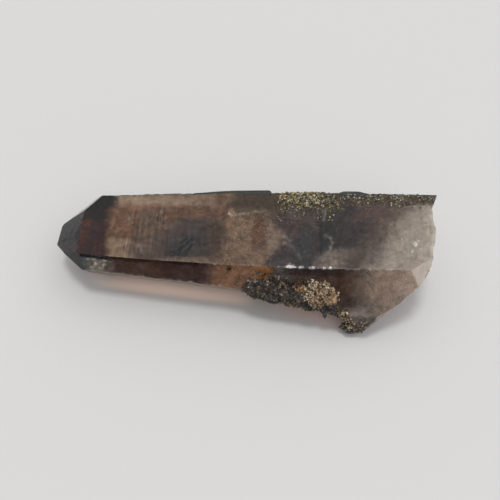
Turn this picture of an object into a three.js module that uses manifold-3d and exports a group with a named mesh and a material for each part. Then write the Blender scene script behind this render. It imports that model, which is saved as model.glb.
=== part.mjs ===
// A single-terminated smoky quartz crystal, lying on one of its prism faces.
// Units are millimetres, +Z up. The long (c) axis of the crystal runs along X:
// the point is at -X and the broken root is at +X. The face it lies on is z = 0.

import * as THREE from 'three';
import { mergeVertices } from 'three/addons/utils/BufferGeometryUtils.js';
import Module from 'manifold-3d';

const wasm = await Module();
wasm.setup();

// ---------------------------------------------------------------- dimensions
const TOP_TILT = 3.5;          // deg, the root is thicker than the point
const TOP_HEIGHT = 21.1;       // height of the top face over x = 0
const X_START = -66;           // the prism before its point is cut
const X_END = 64;              // the prism before its root is broken off
const STATION = 2.5;           // spacing of the sections along the crystal
const GAP = 0.3;               // clearance between the crystal and what grows on it
const BACK_SHARE = 0.52;       // height of the back corner, as a share of the top
const EDGE_FRONT = [-13.4663, -0.026606, 5.14e-4];   // y of the front top edge over x
const EDGE_BACK = [14.3558, 0.029688, -3.95e-4];     // y of the back top edge over x
// width of the lower front prism face along the crystal: [x, width]
const FRONT_WIDTH = [
  [-66, 5.3], [-50, 5.45], [-42, 5.65], [-34, 5.95], [-27, 6.35], [-19.5, 6.7],
  [-12, 7.25], [-3, 7.95], [3, 9.0], [9, 10.8], [16, 12.3], [23, 13.9],
  [30, 16.4], [37, 20.6], [44, 21.6], [66, 22.5],
];
// planes of the point, [nx, ny, nz, distance]
const POINT_FACES = [
  [-0.618401, -0.002258, 0.785859, 46.6414],
  [-0.624738, 0.456237, 0.63368, 47.0135],
  [-0.501043, -0.797878, 0.335182, 40.4246],
  [-0.609136, -0.69276, -0.386052, 35.1207],
  [-0.61757, 0.034038, -0.785779, 28.4829],
  [-0.618, 0.681, -0.393, 35.3],
];
// the slanting break at the lower front corner of the root
const BREAK_FACE = [0.724, -0.517, -0.458, 36.88];
// x of the broken root along the top face: [y, x]
const ROOT_LINE = [
  [-30, 53.6], [-15, 54.1], [-13.3, 54.35], [-10.5, 55.05], [-6.1, 55.2], [-2.5, 56.0],
  [0.5, 56.4], [2.0, 56.5], [4.3, 56.0], [7.0, 55.5], [9.3, 55.6], [11.6, 56.3],
  [14.0, 57.0], [18, 57.1], [22, 55.8], [32, 54.5],
];
// small crystal grown into the lower front corner
const SIDE_TIP = [28.7, -21.95, 2.75];
const SIDE_AXIS = [-0.985, -0.14, -0.04];
const SIDE_RADIUS = 2.55;
const SIDE_POINT = 3.3;
const SIDE_LENGTH = 11.5;
// raised growth steps on the upper back face: [x0, x1, width, thickness]
const BACK_STEPS = [
  [-4.6, 5.8, 8.5, 0.75],
  [27.2, 35.2, 6.5, 0.6],
];

// ------------------------------------------------------------------- helpers
const rad = (deg) => (deg * Math.PI) / 180;
const poly = (c, x) => c[0] + c[1] * x + c[2] * x * x;
function table(rows, x) {
  if (x <= rows[0][0]) return rows[0][1];
  for (let i = 1; i < rows.length; i += 1) {
    if (x <= rows[i][0]) {
      const t = (x - rows[i - 1][0]) / (rows[i][0] - rows[i - 1][0]);
      return rows[i - 1][1] + t * (rows[i][1] - rows[i - 1][1]);
    }
  }
  return rows[rows.length - 1][1];
}
const topZ = (x) => (TOP_HEIGHT + x * Math.sin(rad(TOP_TILT))) / Math.cos(rad(TOP_TILT));

function solid(geometry) {
  const g = geometry.clone();
  for (const name of Object.keys(g.attributes)) {
    if (name !== 'position') g.deleteAttribute(name);
  }
  const m = mergeVertices(g, 1e-5);
  const index = m.index.array;
  const tris = [];
  for (let i = 0; i < index.length; i += 3) {
    const a = index[i];
    const b = index[i + 1];
    const c = index[i + 2];
    if (a !== b && b !== c && c !== a) tris.push(a, b, c);
  }
  return new wasm.Manifold(new wasm.Mesh({
    numProp: 3,
    vertProperties: new Float32Array(m.attributes.position.array),
    triVerts: new Uint32Array(tris),
  }));
}

function geometryOf(manifold) {
  const mesh = manifold.getMesh();
  const g = new THREE.BufferGeometry();
  g.setAttribute('position', new THREE.BufferAttribute(new Float32Array(mesh.vertProperties), 3));
  g.setIndex(new THREE.BufferAttribute(new Uint32Array(mesh.triVerts), 1));
  g.computeVertexNormals();
  return g;
}

// everything on the outer side of a plane, as a big block
function beyond(nx, ny, nz, d) {
  const n = new THREE.Vector3(nx, ny, nz);
  const dist = d / n.length();
  n.normalize();
  const g = new THREE.BoxGeometry(300, 300, 150);
  g.translate(0, 0, 75);
  const q = new THREE.Quaternion().setFromUnitVectors(new THREE.Vector3(0, 0, 1), n);
  g.applyQuaternion(q);
  g.translate(n.x * dist, n.y * dist, n.z * dist);
  return solid(g);
}

// ------------------------------------------------------- the hexagonal prism
// corners of the section at x, in order, as [y, z]: front top, back top, back
// middle, back bottom, front bottom, front middle
function section(x, grow = 0) {
  const z1 = topZ(x);
  const y12 = poly(EDGE_FRONT, x);
  const y61 = poly(EDGE_BACK, x);
  const s2 = table(FRONT_WIDTH, x);
  const y23 = y12 - 0.5 * s2;
  const z23 = z1 - 0.8660254 * s2;
  const y34 = y23 + z23 * 0.5773503;
  const z56 = BACK_SHARE * z1;
  const y56 = y61 + (z1 - z56) * 0.5773503;
  const y45 = y56 - z56 * 0.5773503;
  const pts = [[y12, z1], [y61, z1], [y56, z56], [y45, 0], [y34, 0], [y23, z23]];
  if (!grow) return pts;
  const out = [];
  for (let i = 0; i < 6; i += 1) {
    const p = pts[(i + 5) % 6];
    const q = pts[i];
    const r = pts[(i + 1) % 6];
    const e1 = [q[0] - p[0], q[1] - p[1]];
    const e2 = [r[0] - q[0], r[1] - q[1]];
    const l1 = Math.hypot(...e1);
    const l2 = Math.hypot(...e2);
    const n1 = [-e1[1] / l1, e1[0] / l1];
    const n2 = [-e2[1] / l2, e2[0] / l2];
    const k = grow / (1 + n1[0] * n2[0] + n1[1] * n2[1]);
    out.push([q[0] + (n1[0] + n2[0]) * k, q[1] + (n1[1] + n2[1]) * k]);
  }
  return out;
}

function prism(grow = 0) {
  const n = Math.round((X_END - X_START) / STATION);
  const pos = [];
  const idx = [];
  for (let i = 0; i <= n; i += 1) {
    const x = X_START + ((X_END - X_START) * i) / n;
    for (const [y, z] of section(x, grow)) pos.push(x, y, z);
  }
  for (let i = 0; i < n; i += 1) {
    for (let k = 0; k < 6; k += 1) {
      const a = i * 6 + k;
      const b = i * 6 + ((k + 1) % 6);
      idx.push(a, a + 6, b, b, a + 6, b + 6);
    }
  }
  for (let k = 1; k < 5; k += 1) {
    idx.push(0, k, k + 1);
    const base = n * 6;
    idx.push(base, base + k + 1, base + k);
  }
  const g = new THREE.BufferGeometry();
  g.setAttribute('position', new THREE.Float32BufferAttribute(pos, 3));
  g.setIndex(idx);
  return solid(orient(g));
}

// turn every face of a closed mesh outwards if its volume comes out negative
function orient(g) {
  const p = g.attributes.position.array;
  const t = g.index.array;
  let volume = 0;
  for (let i = 0; i < t.length; i += 3) {
    const a = t[i] * 3;
    const b = t[i + 1] * 3;
    const c = t[i + 2] * 3;
    volume += p[a] * (p[b + 1] * p[c + 2] - p[b + 2] * p[c + 1])
      - p[a + 1] * (p[b] * p[c + 2] - p[b + 2] * p[c])
      + p[a + 2] * (p[b] * p[c + 1] - p[b + 1] * p[c]);
  }
  if (volume < 0) {
    for (let i = 0; i < t.length; i += 3) {
      const s = t[i + 1];
      t[i + 1] = t[i + 2];
      t[i + 2] = s;
    }
  }
  return g;
}

// ------------------------------------------------------------ the broken root
function rootX(y, z) {
  const line = table(ROOT_LINE, y);
  const depth = 24.5 - z;
  return line - 0.075 * depth
    + 0.55 * Math.sin(0.42 * y + 0.31 * z) * Math.min(1, depth / 5)
    + 0.45 * Math.sin(0.23 * y - 0.52 * z + 1.1) * Math.min(1, depth / 5);
}

function rootCutter() {
  const Y0 = -36;
  const Z0 = -12;
  const STEP = 2.4;
  const NY = 30;
  const NZ = 20;
  const pos = [];
  const idx = [];
  const at = (i, j, side) => side * (NY + 1) * (NZ + 1) + j * (NY + 1) + i;
  for (let side = 0; side < 2; side += 1) {
    for (let j = 0; j <= NZ; j += 1) {
      for (let i = 0; i <= NY; i += 1) {
        const y = Y0 + i * STEP;
        const z = Z0 + j * STEP;
        pos.push(side ? 120 : rootX(y, z), y, z);
      }
    }
  }
  for (let j = 0; j < NZ; j += 1) {
    for (let i = 0; i < NY; i += 1) {
      idx.push(at(i, j, 0), at(i, j + 1, 0), at(i + 1, j, 0));
      idx.push(at(i + 1, j, 0), at(i, j + 1, 0), at(i + 1, j + 1, 0));
      idx.push(at(i, j, 1), at(i + 1, j, 1), at(i, j + 1, 1));
      idx.push(at(i + 1, j, 1), at(i + 1, j + 1, 1), at(i, j + 1, 1));
    }
  }
  for (let i = 0; i < NY; i += 1) {
    idx.push(at(i, 0, 0), at(i + 1, 0, 0), at(i, 0, 1));
    idx.push(at(i + 1, 0, 0), at(i + 1, 0, 1), at(i, 0, 1));
    idx.push(at(i, NZ, 0), at(i, NZ, 1), at(i + 1, NZ, 0));
    idx.push(at(i + 1, NZ, 0), at(i, NZ, 1), at(i + 1, NZ, 1));
  }
  for (let j = 0; j < NZ; j += 1) {
    idx.push(at(0, j, 0), at(0, j, 1), at(0, j + 1, 0));
    idx.push(at(0, j + 1, 0), at(0, j, 1), at(0, j + 1, 1));
    idx.push(at(NY, j, 0), at(NY, j + 1, 0), at(NY, j, 1));
    idx.push(at(NY, j + 1, 0), at(NY, j + 1, 1), at(NY, j, 1));
  }
  const g = new THREE.BufferGeometry();
  g.setAttribute('position', new THREE.Float32BufferAttribute(pos, 3));
  g.setIndex(idx);
  return solid(orient(g));
}

// ------------------------------------------------- growth steps, side crystal
// a low plate on the upper back face, flush with the top face
function backStep(x0, x1, width, thick) {
  const shape = new THREE.Shape();
  shape.moveTo(x0, 2.5);
  shape.lineTo(x1, 2.5);
  shape.lineTo(x1 - 0.5, -width * 0.55);
  shape.lineTo(x1 - 2.2, -width);
  shape.lineTo(x0 + 1.6, -width * 0.9);
  shape.closePath();
  const g = new THREE.ExtrudeGeometry(shape, { depth: thick + 1.5, bevelEnabled: false });
  g.translate(0, 0, -1.5);
  // the shape's v runs up the face, its depth along the face's normal
  const mid = 0.5 * (x0 + x1);
  const m = new THREE.Matrix4().makeBasis(
    new THREE.Vector3(1, 0, 0),
    new THREE.Vector3(0, -0.5, 0.8660254),
    new THREE.Vector3(0, -0.8660254, -0.5).negate(),
  );
  g.applyMatrix4(m);
  g.translate(0, poly(EDGE_BACK, mid), topZ(mid));
  let s = solid(orient(g.index ? g : mergeVertices(g)));
  const n = new THREE.Vector3(-Math.sin(rad(TOP_TILT)), 0, Math.cos(rad(TOP_TILT)));
  s = s.subtract(beyond(n.x, n.y, n.z, TOP_HEIGHT - 0.02));
  return s;
}

function sideCrystal() {
  const r = SIDE_RADIUS;
  const profile = [
    new THREE.Vector2(0, 0),
    new THREE.Vector2(r, 0),
    new THREE.Vector2(r * 0.97, SIDE_LENGTH),
    new THREE.Vector2(0, SIDE_LENGTH + SIDE_POINT),
  ];
  const g = new THREE.LatheGeometry(profile, 6);
  g.rotateY(rad(12));
  g.scale(1, 1, 1.0);
  g.translate(0, -(SIDE_LENGTH + SIDE_POINT), 0);
  const axis = new THREE.Vector3(...SIDE_AXIS).normalize();
  g.applyQuaternion(new THREE.Quaternion().setFromUnitVectors(new THREE.Vector3(0, 1, 0), axis));
  g.translate(...SIDE_TIP);
  const merged = mergeVertices((() => { g.deleteAttribute('normal'); g.deleteAttribute('uv'); return g; })(), 1e-5);
  return solid(orient(merged));
}

// --------------------------------------------------------------- the crystal
function cutPoint(body, grow = 0) {
  let out = body;
  for (const [nx, ny, nz, d] of POINT_FACES) {
    const len = Math.hypot(nx, ny, nz);
    out = out.subtract(beyond(nx, ny, nz, d + grow * len));
  }
  return out;
}

let quartz = prism();
for (const step of BACK_STEPS) quartz = quartz.add(backStep(...step));
quartz = quartz.add(sideCrystal());
quartz = cutPoint(quartz);
quartz = quartz.subtract(beyond(...BREAK_FACE));
quartz = quartz.subtract(rootCutter());

// the same crystal a little larger, to keep what grows on it clear of it
let envelope = cutPoint(prism(GAP), GAP);
for (const [x0, x1, w, t] of BACK_STEPS) envelope = envelope.add(backStep(x0 - GAP, x1 + GAP, w + GAP, t + GAP));

// ------------------------------------------------------------ crusts on it
function lump(cx, cy, cz, rx, ry, rz, tilt, detail, seed) {
  const g = new THREE.IcosahedronGeometry(1, detail);
  g.deleteAttribute('normal');
  g.deleteAttribute('uv');
  const m = mergeVertices(g, 1e-4);
  const p = m.attributes.position;
  for (let i = 0; i < p.count; i += 1) {
    const v = new THREE.Vector3().fromBufferAttribute(p, i).normalize();
    const w = 1
      + 0.07 * Math.sin(5.1 * v.x + 3.3 * v.y + seed)
      + 0.05 * Math.sin(7.3 * v.y - 4.1 * v.z + 2.1 * seed);
    p.setXYZ(i, v.x * w * rx, v.y * w * ry, v.z * w * rz);
  }
  m.rotateX(rad(tilt));
  m.translate(cx, cy, cz);
  return solid(m);
}
const grown = (...parts) => parts.reduce((a, b) => a.add(b));

// yellow-brown mica along the back top edge
const micaLumps = () => grown(
  lump(12.2, 12.7, 21.65, 3.6, 2.3, 1.2, 0, 4, 5.2),
  lump(17.0, 12.3, 21.95, 4.2, 2.9, 1.35, 0, 4, 0.4),
  lump(22.4, 12.7, 22.25, 4.0, 2.5, 1.3, 0, 4, 1.9),
);
// cream and tan grains in a round patch on the lower front face
const TAN = [22.0, -18.05, 14.75, 5.6, 5.4, 1.6, 60, 5, 2.6];
const tanLump = (more = 0) => lump(TAN[0], TAN[1], TAN[2], TAN[3] + more, TAN[4] + more, TAN[5] + more, TAN[6], TAN[7], TAN[8]);
// dark green-black grains along the lower front edge, with two black spikes
function spike(base, tip, r) {
  const a = new THREE.Vector3(...base);
  const b = new THREE.Vector3(...tip);
  const dir = b.clone().sub(a);
  const h = dir.length();
  const g = new THREE.ConeGeometry(r, h, 5);
  g.translate(0, h / 2, 0);
  g.applyQuaternion(new THREE.Quaternion().setFromUnitVectors(new THREE.Vector3(0, 1, 0), dir.normalize()));
  g.translate(a.x, a.y, a.z);
  g.deleteAttribute('normal');
  g.deleteAttribute('uv');
  return solid(orient(mergeVertices(g, 1e-5)));
}
const darkLumps = () => grown(
  lump(3.9, -17.6, 14.2, 4.4, 3.4, 1.5, 61, 4, 3.1),
  lump(9.0, -18.2, 13.9, 5.2, 3.8, 1.6, 61, 4, 5.4),
  lump(14.6, -18.7, 13.2, 5.2, 3.7, 1.6, 61, 4, 4.4),
  lump(20.6, -19.9, 11.7, 4.8, 2.3, 1.8, 61, 4, 0.9),
  lump(25.6, -20.4, 11.3, 3.5, 1.9, 1.7, 61, 4, 1.7),
  spike([24.0, -20.3, 11.3], [24.4, -22.4, 7.7], 1.25),
  spike([26.9, -20.5, 11.2], [27.4, -21.9, 9.0], 0.95),
);

const mica = micaLumps().subtract(envelope);
const tan = tanLump().subtract(envelope);
const dark = darkLumps().subtract(envelope).subtract(tanLump(GAP + 0.05));

// a subtraction can leave slivers: keep the largest body only
function largest(m) {
  const parts = m.decompose();
  return parts.reduce((a, b) => (a.volume() > b.volume() ? a : b));
}

// ------------------------------------------------------------------ assembly
const smoky = new THREE.MeshStandardMaterial({ color: 0x5a4638, roughness: 0.12, metalness: 0 });
const golden = new THREE.MeshStandardMaterial({ color: 0x8b7440, roughness: 0.55, metalness: 0 });
const cream = new THREE.MeshStandardMaterial({ color: 0xa98a66, roughness: 0.8, metalness: 0 });
const black = new THREE.MeshStandardMaterial({ color: 0x23211d, roughness: 0.6, metalness: 0 });

const part = new THREE.Group();
function add(name, manifold, material) {
  const mesh = new THREE.Mesh(geometryOf(largest(manifold)), material);
  mesh.name = name;
  part.add(mesh);
}
add('quartz_crystal', quartz, smoky);
add('mica_crust', mica, golden);
add('tan_grain_crust', tan, cream);
add('dark_grain_crust', dark, black);

// the origin is on the surface it lies on, under the middle of the crystal
const box = new THREE.Box3().setFromObject(part);
part.position.set(-(box.min.x + box.max.x) / 2, -(box.min.y + box.max.y) / 2, -box.min.z);
part.updateMatrixWorld(true);

export default part;
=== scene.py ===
import math

import bmesh
import bpy
import numpy as np
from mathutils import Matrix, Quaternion, Vector
from mathutils.bvhtree import BVHTree


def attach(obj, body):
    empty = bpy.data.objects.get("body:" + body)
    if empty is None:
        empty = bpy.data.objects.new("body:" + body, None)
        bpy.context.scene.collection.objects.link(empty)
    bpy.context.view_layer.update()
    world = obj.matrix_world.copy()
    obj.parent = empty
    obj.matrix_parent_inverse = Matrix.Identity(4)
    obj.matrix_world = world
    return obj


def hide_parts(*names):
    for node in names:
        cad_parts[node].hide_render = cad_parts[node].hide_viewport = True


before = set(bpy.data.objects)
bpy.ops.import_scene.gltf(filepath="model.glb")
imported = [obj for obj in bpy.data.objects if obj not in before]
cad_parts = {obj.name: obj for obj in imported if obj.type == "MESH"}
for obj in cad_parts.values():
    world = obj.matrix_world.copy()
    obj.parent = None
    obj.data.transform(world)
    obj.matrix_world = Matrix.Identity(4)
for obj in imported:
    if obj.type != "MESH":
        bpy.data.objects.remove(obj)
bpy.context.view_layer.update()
WORLD_LEVEL = 0.68

# Lengths below are in millimetres in the crystal's own frame: X along its long axis with the point at -X,
# the face it lies on at z = 0. OFF moves them into the part's frame, and MM turns them into metres.
MM = 0.001
OFF = np.array([1.7678146, 1.2059231, 0.0])


def place(p):
    return (np.asarray(p, float) + OFF) * MM


# ------------------------------------------------------------------ camera
AZ, EL, DIST = math.radians(4.2), math.radians(55.0), 284.96
AIM = np.array([0.0, 0.0, 10.0])
back = np.array([math.sin(AZ) * math.cos(EL), -math.cos(AZ) * math.cos(EL), math.sin(EL)])
cam_data = bpy.data.cameras.new("camera")
cam_data.sensor_width = 36.0
cam_data.sensor_fit = "HORIZONTAL"
cam_data.lens = 64.8
cam_data.clip_start, cam_data.clip_end = 0.005, 20.0
camera = bpy.data.objects.new("camera", cam_data)
bpy.context.scene.collection.objects.link(camera)
camera.location = Vector(place(AIM + back * DIST))
camera.rotation_mode = "QUATERNION"
camera.rotation_quaternion = Vector(-back).to_track_quat("-Z", "Y")
bpy.context.scene.camera = camera


# ------------------------------------------------------------------ noise
def _hash(ix, iy, iz, seed):
    with np.errstate(over="ignore"):
        h = (ix.astype(np.uint32) * np.uint32(0x8DA6B343)) ^ (iy.astype(np.uint32) * np.uint32(0xD8163841)) ^ (
            iz.astype(np.uint32) * np.uint32(0xCB1AB31F)) ^ np.uint32((seed * 2654435761) & 0xFFFFFFFF)
        h ^= h >> np.uint32(15)
        h *= np.uint32(0x2C1B3C6D)
        h ^= h >> np.uint32(12)
        h *= np.uint32(0x297A2D39)
        h ^= h >> np.uint32(15)
    return h


GRAD = np.array([[1, 1, 0], [-1, 1, 0], [1, -1, 0], [-1, -1, 0], [1, 0, 1], [-1, 0, 1], [1, 0, -1], [-1, 0, -1],
                 [0, 1, 1], [0, -1, 1], [0, 1, -1], [0, -1, -1]], float)


def noise(p, freq=1.0, seed=0):
    """Gradient noise, about -1 to 1, at the points p."""
    q = np.asarray(p, float) * np.asarray(freq, float) + 13.7
    i = np.floor(q).astype(np.int64)
    f = q - i
    u = f * f * f * (f * (f * 6 - 15) + 10)
    out = np.zeros(len(q))
    for dx in (0, 1):
        wx = u[:, 0] if dx else 1 - u[:, 0]
        for dy in (0, 1):
            wy = u[:, 1] if dy else 1 - u[:, 1]
            for dz in (0, 1):
                wz = u[:, 2] if dz else 1 - u[:, 2]
                g = GRAD[_hash(i[:, 0] + dx, i[:, 1] + dy, i[:, 2] + dz, seed) % 12]
                d = f - np.array([dx, dy, dz])
                out += wx * wy * wz * (g * d).sum(1)
    return out * 1.5


def fbm(p, freq, octaves=4, seed=0, gain=0.5):
    out, amp, total = 0.0, 1.0, 0.0
    freq = np.asarray(freq, float)
    for k in range(octaves):
        out = out + amp * noise(p, freq * 2.03 ** k, seed + 17 * k)
        total += amp
        amp *= gain
    return out / total


def smooth(a, b, x):
    t = np.clip((np.asarray(x, float) - a) / (b - a), 0, 1)
    return t * t * (3 - 2 * t)


# ------------------------------------------------------------ the crystal's form
TILT = math.radians(3.5)
FRONT_WIDTH = np.array([[-66, 5.3], [-50, 5.45], [-42, 5.65], [-34, 5.95], [-27, 6.35], [-19.5, 6.7], [-12, 7.25],
                        [-3, 7.95], [3, 9.0], [9, 10.8], [16, 12.3], [23, 13.9], [30, 16.4], [37, 20.6], [44, 21.6],
                        [66, 22.5]])
_gx = np.linspace(-70, 70, 561)
_gw = np.interp(_gx, FRONT_WIDTH[:, 0], FRONT_WIDTH[:, 1])
_k = np.exp(-0.5 * (np.arange(-16, 17) / 7.0) ** 2)
_gw = np.convolve(np.pad(_gw, 16, mode="edge"), _k / _k.sum(), mode="valid")
POINT_FACES = np.array([
    [-0.618401, -0.002258, 0.785859, 46.6414],
    [-0.624738, 0.456237, 0.63368, 47.0135],
    [-0.501043, -0.797878, 0.335182, 40.4246],
    [-0.609136, -0.69276, -0.386052, 35.1207],
    [-0.61757, 0.034038, -0.785779, 28.4829],
    [-0.618, 0.681, -0.393, 35.3],
])
BREAK_FACE = np.array([0.724, -0.517, -0.458, 36.88])
ROOT_LINE = np.array([[-30, 53.6], [-15, 54.1], [-13.3, 54.35], [-10.5, 55.05], [-6.1, 55.2], [-2.5, 56.0],
                      [0.5, 56.4], [2.0, 56.5], [4.3, 56.0], [7.0, 55.5], [9.3, 55.6], [11.6, 56.3], [14.0, 57.0],
                      [18, 57.1], [22, 55.8], [32, 54.5]])


def top_z(x):
    return (21.1 + x * math.sin(TILT)) / math.cos(TILT)


def edge12(x):
    return -13.4663 - 0.026606 * x + 5.14e-4 * x * x


def edge61(x):
    return 14.3558 + 0.029688 * x - 3.95e-4 * x * x


def corners(x):
    """The six corners of the section at x, (n, 6, 2): front top, back top, back middle, back bottom, front bottom, front middle."""
    x = np.asarray(x, float)
    z1, y12, y61 = top_z(x), edge12(x), edge61(x)
    s2 = np.interp(x, _gx, _gw)
    y23, z23 = y12 - 0.5 * s2, z1 - 0.8660254 * s2
    y34 = y23 + z23 * 0.5773503
    z56 = (0.52 + 0.012 * np.sin(0.07 * x + 0.6)) * z1
    y56 = y61 + (z1 - z56) * 0.5773503
    y45 = y56 - z56 * 0.5773503
    o = np.zeros_like(x)
    return np.stack([np.stack([y12, z1], -1), np.stack([y61, z1], -1), np.stack([y56, z56], -1),
                     np.stack([y45, o], -1), np.stack([y34, o], -1), np.stack([y23, z23], -1)], 1)


def root_x(y, z):
    depth = np.clip(24.5 - z, 0, None)
    ease = np.minimum(1, depth / 5)
    return (np.interp(y, ROOT_LINE[:, 0], ROOT_LINE[:, 1]) - 0.075 * depth
            + 0.55 * np.sin(0.42 * y + 0.31 * z) * ease + 0.45 * np.sin(0.23 * y - 0.52 * z + 1.1) * ease)


# Cells across each face, closer together near its edges
CELLS = [58, 26, 24, 34, 26, 34]
DX = 0.46


def spread(n):
    t = np.linspace(0, 1, n + 1)
    return 0.55 * t + 0.45 * (0.5 - 0.5 * np.cos(math.pi * t))


def ring(c):
    """Points round the section whose corners are c (n, 6, 2)."""
    pts = []
    for k in range(6):
        a, b = c[:, k], c[:, (k + 1) % 6]
        t = spread(CELLS[k])[:-1]
        pts.append(a[:, None] + (b - a)[:, None] * t[None, :, None])
    return np.concatenate(pts, 1)


RING_GROUP = np.concatenate([np.full(n, k) for k, n in enumerate(CELLS)])
NR = len(RING_GROUP)
X_JOIN = 44.0


def crystal_bmesh():
    xs = np.arange(-66, X_JOIN, DX)
    rings = [np.concatenate([np.full((NR, 1), x), r], 1) for x, r in zip(xs, ring(corners(xs)))]
    # the last stretch ends on the broken root's outline
    n_end = int(12 / DX)
    base = ring(corners(np.array([X_JOIN])))[0]
    end_x = root_x(base[:, 0], base[:, 1])
    for _ in range(4):
        c = np.stack([ring(corners(np.array([v])))[0][i] for i, v in enumerate(end_x)])
        end_x = root_x(c[:, 0], c[:, 1])
    for s in np.linspace(0, 1, n_end + 1):
        x = X_JOIN + s * (end_x - X_JOIN)
        cc = corners(x)
        k = RING_GROUP
        t = np.concatenate([spread(n)[:-1] for n in CELLS])
        i = np.arange(NR)
        a, b = cc[i, k], cc[i, (k + 1) % 6]
        p = a + (b - a) * t[:, None]
        rings.append(np.concatenate([x[:, None], p], 1))
    verts = [np.concatenate(rings, 0)]
    faces, groups = [], []
    n = len(rings)
    ia = np.arange(NR)
    ib = (ia + 1) % NR
    for r in range(n - 1):
        o, q = r * NR, (r + 1) * NR
        faces.append(np.stack([o + ia, o + ib, q + ib, q + ia], 1))
        groups.append(RING_GROUP)
    # the root, in rings that shrink towards its middle
    last = rings[-1]
    mid = np.array([last[:, 1].mean(), 12.0])
    n_in = 34
    count = len(verts[0])
    prev = (n - 1) * NR
    for j in range(1, n_in):
        s = 1 - j / n_in
        yz = mid + (last[:, 1:] - mid) * s
        x = root_x(yz[:, 0], yz[:, 1])
        verts.append(np.concatenate([x[:, None], yz], 1))
        faces.append(np.stack([prev + ia, prev + ib, count + ib, count + ia], 1))
        groups.append(np.full(NR, 13))
        prev = count
        count += NR
    verts.append(np.array([[root_x(mid[:1], mid[1:])[0], mid[0], mid[1]]]))
    tris = [(prev + a, prev + b, count) for a, b in zip(ia, ib)]
    verts = np.concatenate(verts, 0)
    faces = np.concatenate(faces, 0)
    groups = np.concatenate(groups, 0)
    bm = bmesh.new()
    layer = bm.faces.layers.int.new("group")
    vs = [bm.verts.new(v) for v in verts]
    for f, g in zip(faces, groups):
        face = bm.faces.new([vs[i] for i in f])
        face[layer] = int(g)
    for t in tris:
        bm.faces.new([vs[i] for i in t])[layer] = 13
    start = bm.faces.new([vs[i] for i in range(NR)][::-1])
    start[layer] = 20
    bm.normal_update()
    bm.verts.index_update()
    # the faces of the point and the slanting break
    cuts = [(6 + i, row) for i, row in enumerate(POINT_FACES)] + [(12, BREAK_FACE)]
    for g, row in cuts:
        nrm = Vector(row[:3])
        co = nrm.normalized() * (row[3] / nrm.length)
        res = bmesh.ops.bisect_plane(bm, geom=bm.verts[:] + bm.edges[:] + bm.faces[:], dist=1e-5, plane_co=co,
                                     plane_no=nrm, clear_outer=True)
        open_edges = [e for e in bm.edges if len(e.link_faces) == 1]
        made = bmesh.ops.edgeloop_fill(bm, edges=open_edges)
        for f in made["faces"]:
            f[layer] = g
    # refine the faces of the point and the break with a lattice
    step = 0.5
    for g, row in cuts:
        nrm = Vector(row[:3]).normalized()
        u = nrm.orthogonal().normalized()
        if abs(nrm.z) < 0.99:
            u = nrm.cross(Vector((0, 0, 1))).normalized()
        w = nrm.cross(u)
        for axis in (u, w):
            fs = [f for f in bm.faces if f[layer] == g]
            if not fs:
                continue
            proj = [v.co.dot(axis) for f in fs for v in f.verts]
            lo, hi = min(proj), max(proj)
            cells = max(1, int((hi - lo) / step))
            for k in range(1, cells):
                d = lo + (hi - lo) * k / cells
                fs = [f for f in bm.faces if f[layer] == g]
                fs = [f for f in fs if min(v.co.dot(axis) for v in f.verts) < d < max(v.co.dot(axis) for v in f.verts)]
                es = set(e for f in fs for e in f.edges)
                vv = set(v for f in fs for v in f.verts)
                bmesh.ops.bisect_plane(bm, geom=list(vv) + list(es) + fs, dist=1e-5, plane_co=axis * d, plane_no=axis)
    bmesh.ops.recalc_face_normals(bm, faces=bm.faces[:])
    bm.normal_update()
    return bm, layer


def bowls(count, lo, hi, radius, depth, seed):
    r = np.random.default_rng(seed)
    c = r.uniform(lo, hi, (count, 2))
    rad = r.uniform(radius[0], radius[1], count)
    dep = r.uniform(depth[0], depth[1], count) * (rad / radius[1]) ** 0.5
    squash = r.uniform(0.6, 1.0, count)
    turn = r.uniform(0, math.pi, count)
    return [(c[i], rad[i], dep[i], squash[i], turn[i]) for i in range(count)]


ROOT_BOWLS = bowls(30, (-19, 0), (21, 24), (2.8, 8.5), (0.7, 2.7), 71)
BREAK_BOWLS = bowls(18, (-14, -14), (16, 14), (2.5, 9.0), (0.3, 1.1), 72)


def shells(a, b, items):
    """Depth of the deepest of many shallow bowls, with faint ripples round each, as fresh quartz breaks."""
    out = np.zeros(len(a))
    for c, rad, dep, sq, turn in items:
        da, db = a - c[0], b - c[1]
        u = da * math.cos(turn) + db * math.sin(turn)
        v = (-da * math.sin(turn) + db * math.cos(turn)) / sq
        r = np.hypot(u, v)
        cap = dep * (1 - (r / rad) ** 2) + 0.035 * np.sin(5.0 * r) * (r > 0.35 * rad) * (dep > 0.3)
        out = np.where(r < rad, np.maximum(out, cap), out)
    return out


def shell_index(a, b, items):
    """Which bowl is deepest at each point."""
    best, out = np.zeros(len(a)), np.full(len(a), -1)
    for i, (c, rad, dep, sq, turn) in enumerate(items):
        da, db = a - c[0], b - c[1]
        u = da * math.cos(turn) + db * math.sin(turn)
        v = (-da * math.sin(turn) + db * math.cos(turn)) / sq
        cap = dep * (1 - (u * u + v * v) / rad ** 2)
        out = np.where(cap > best, i, out)
        best = np.maximum(best, cap)
    return out


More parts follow.
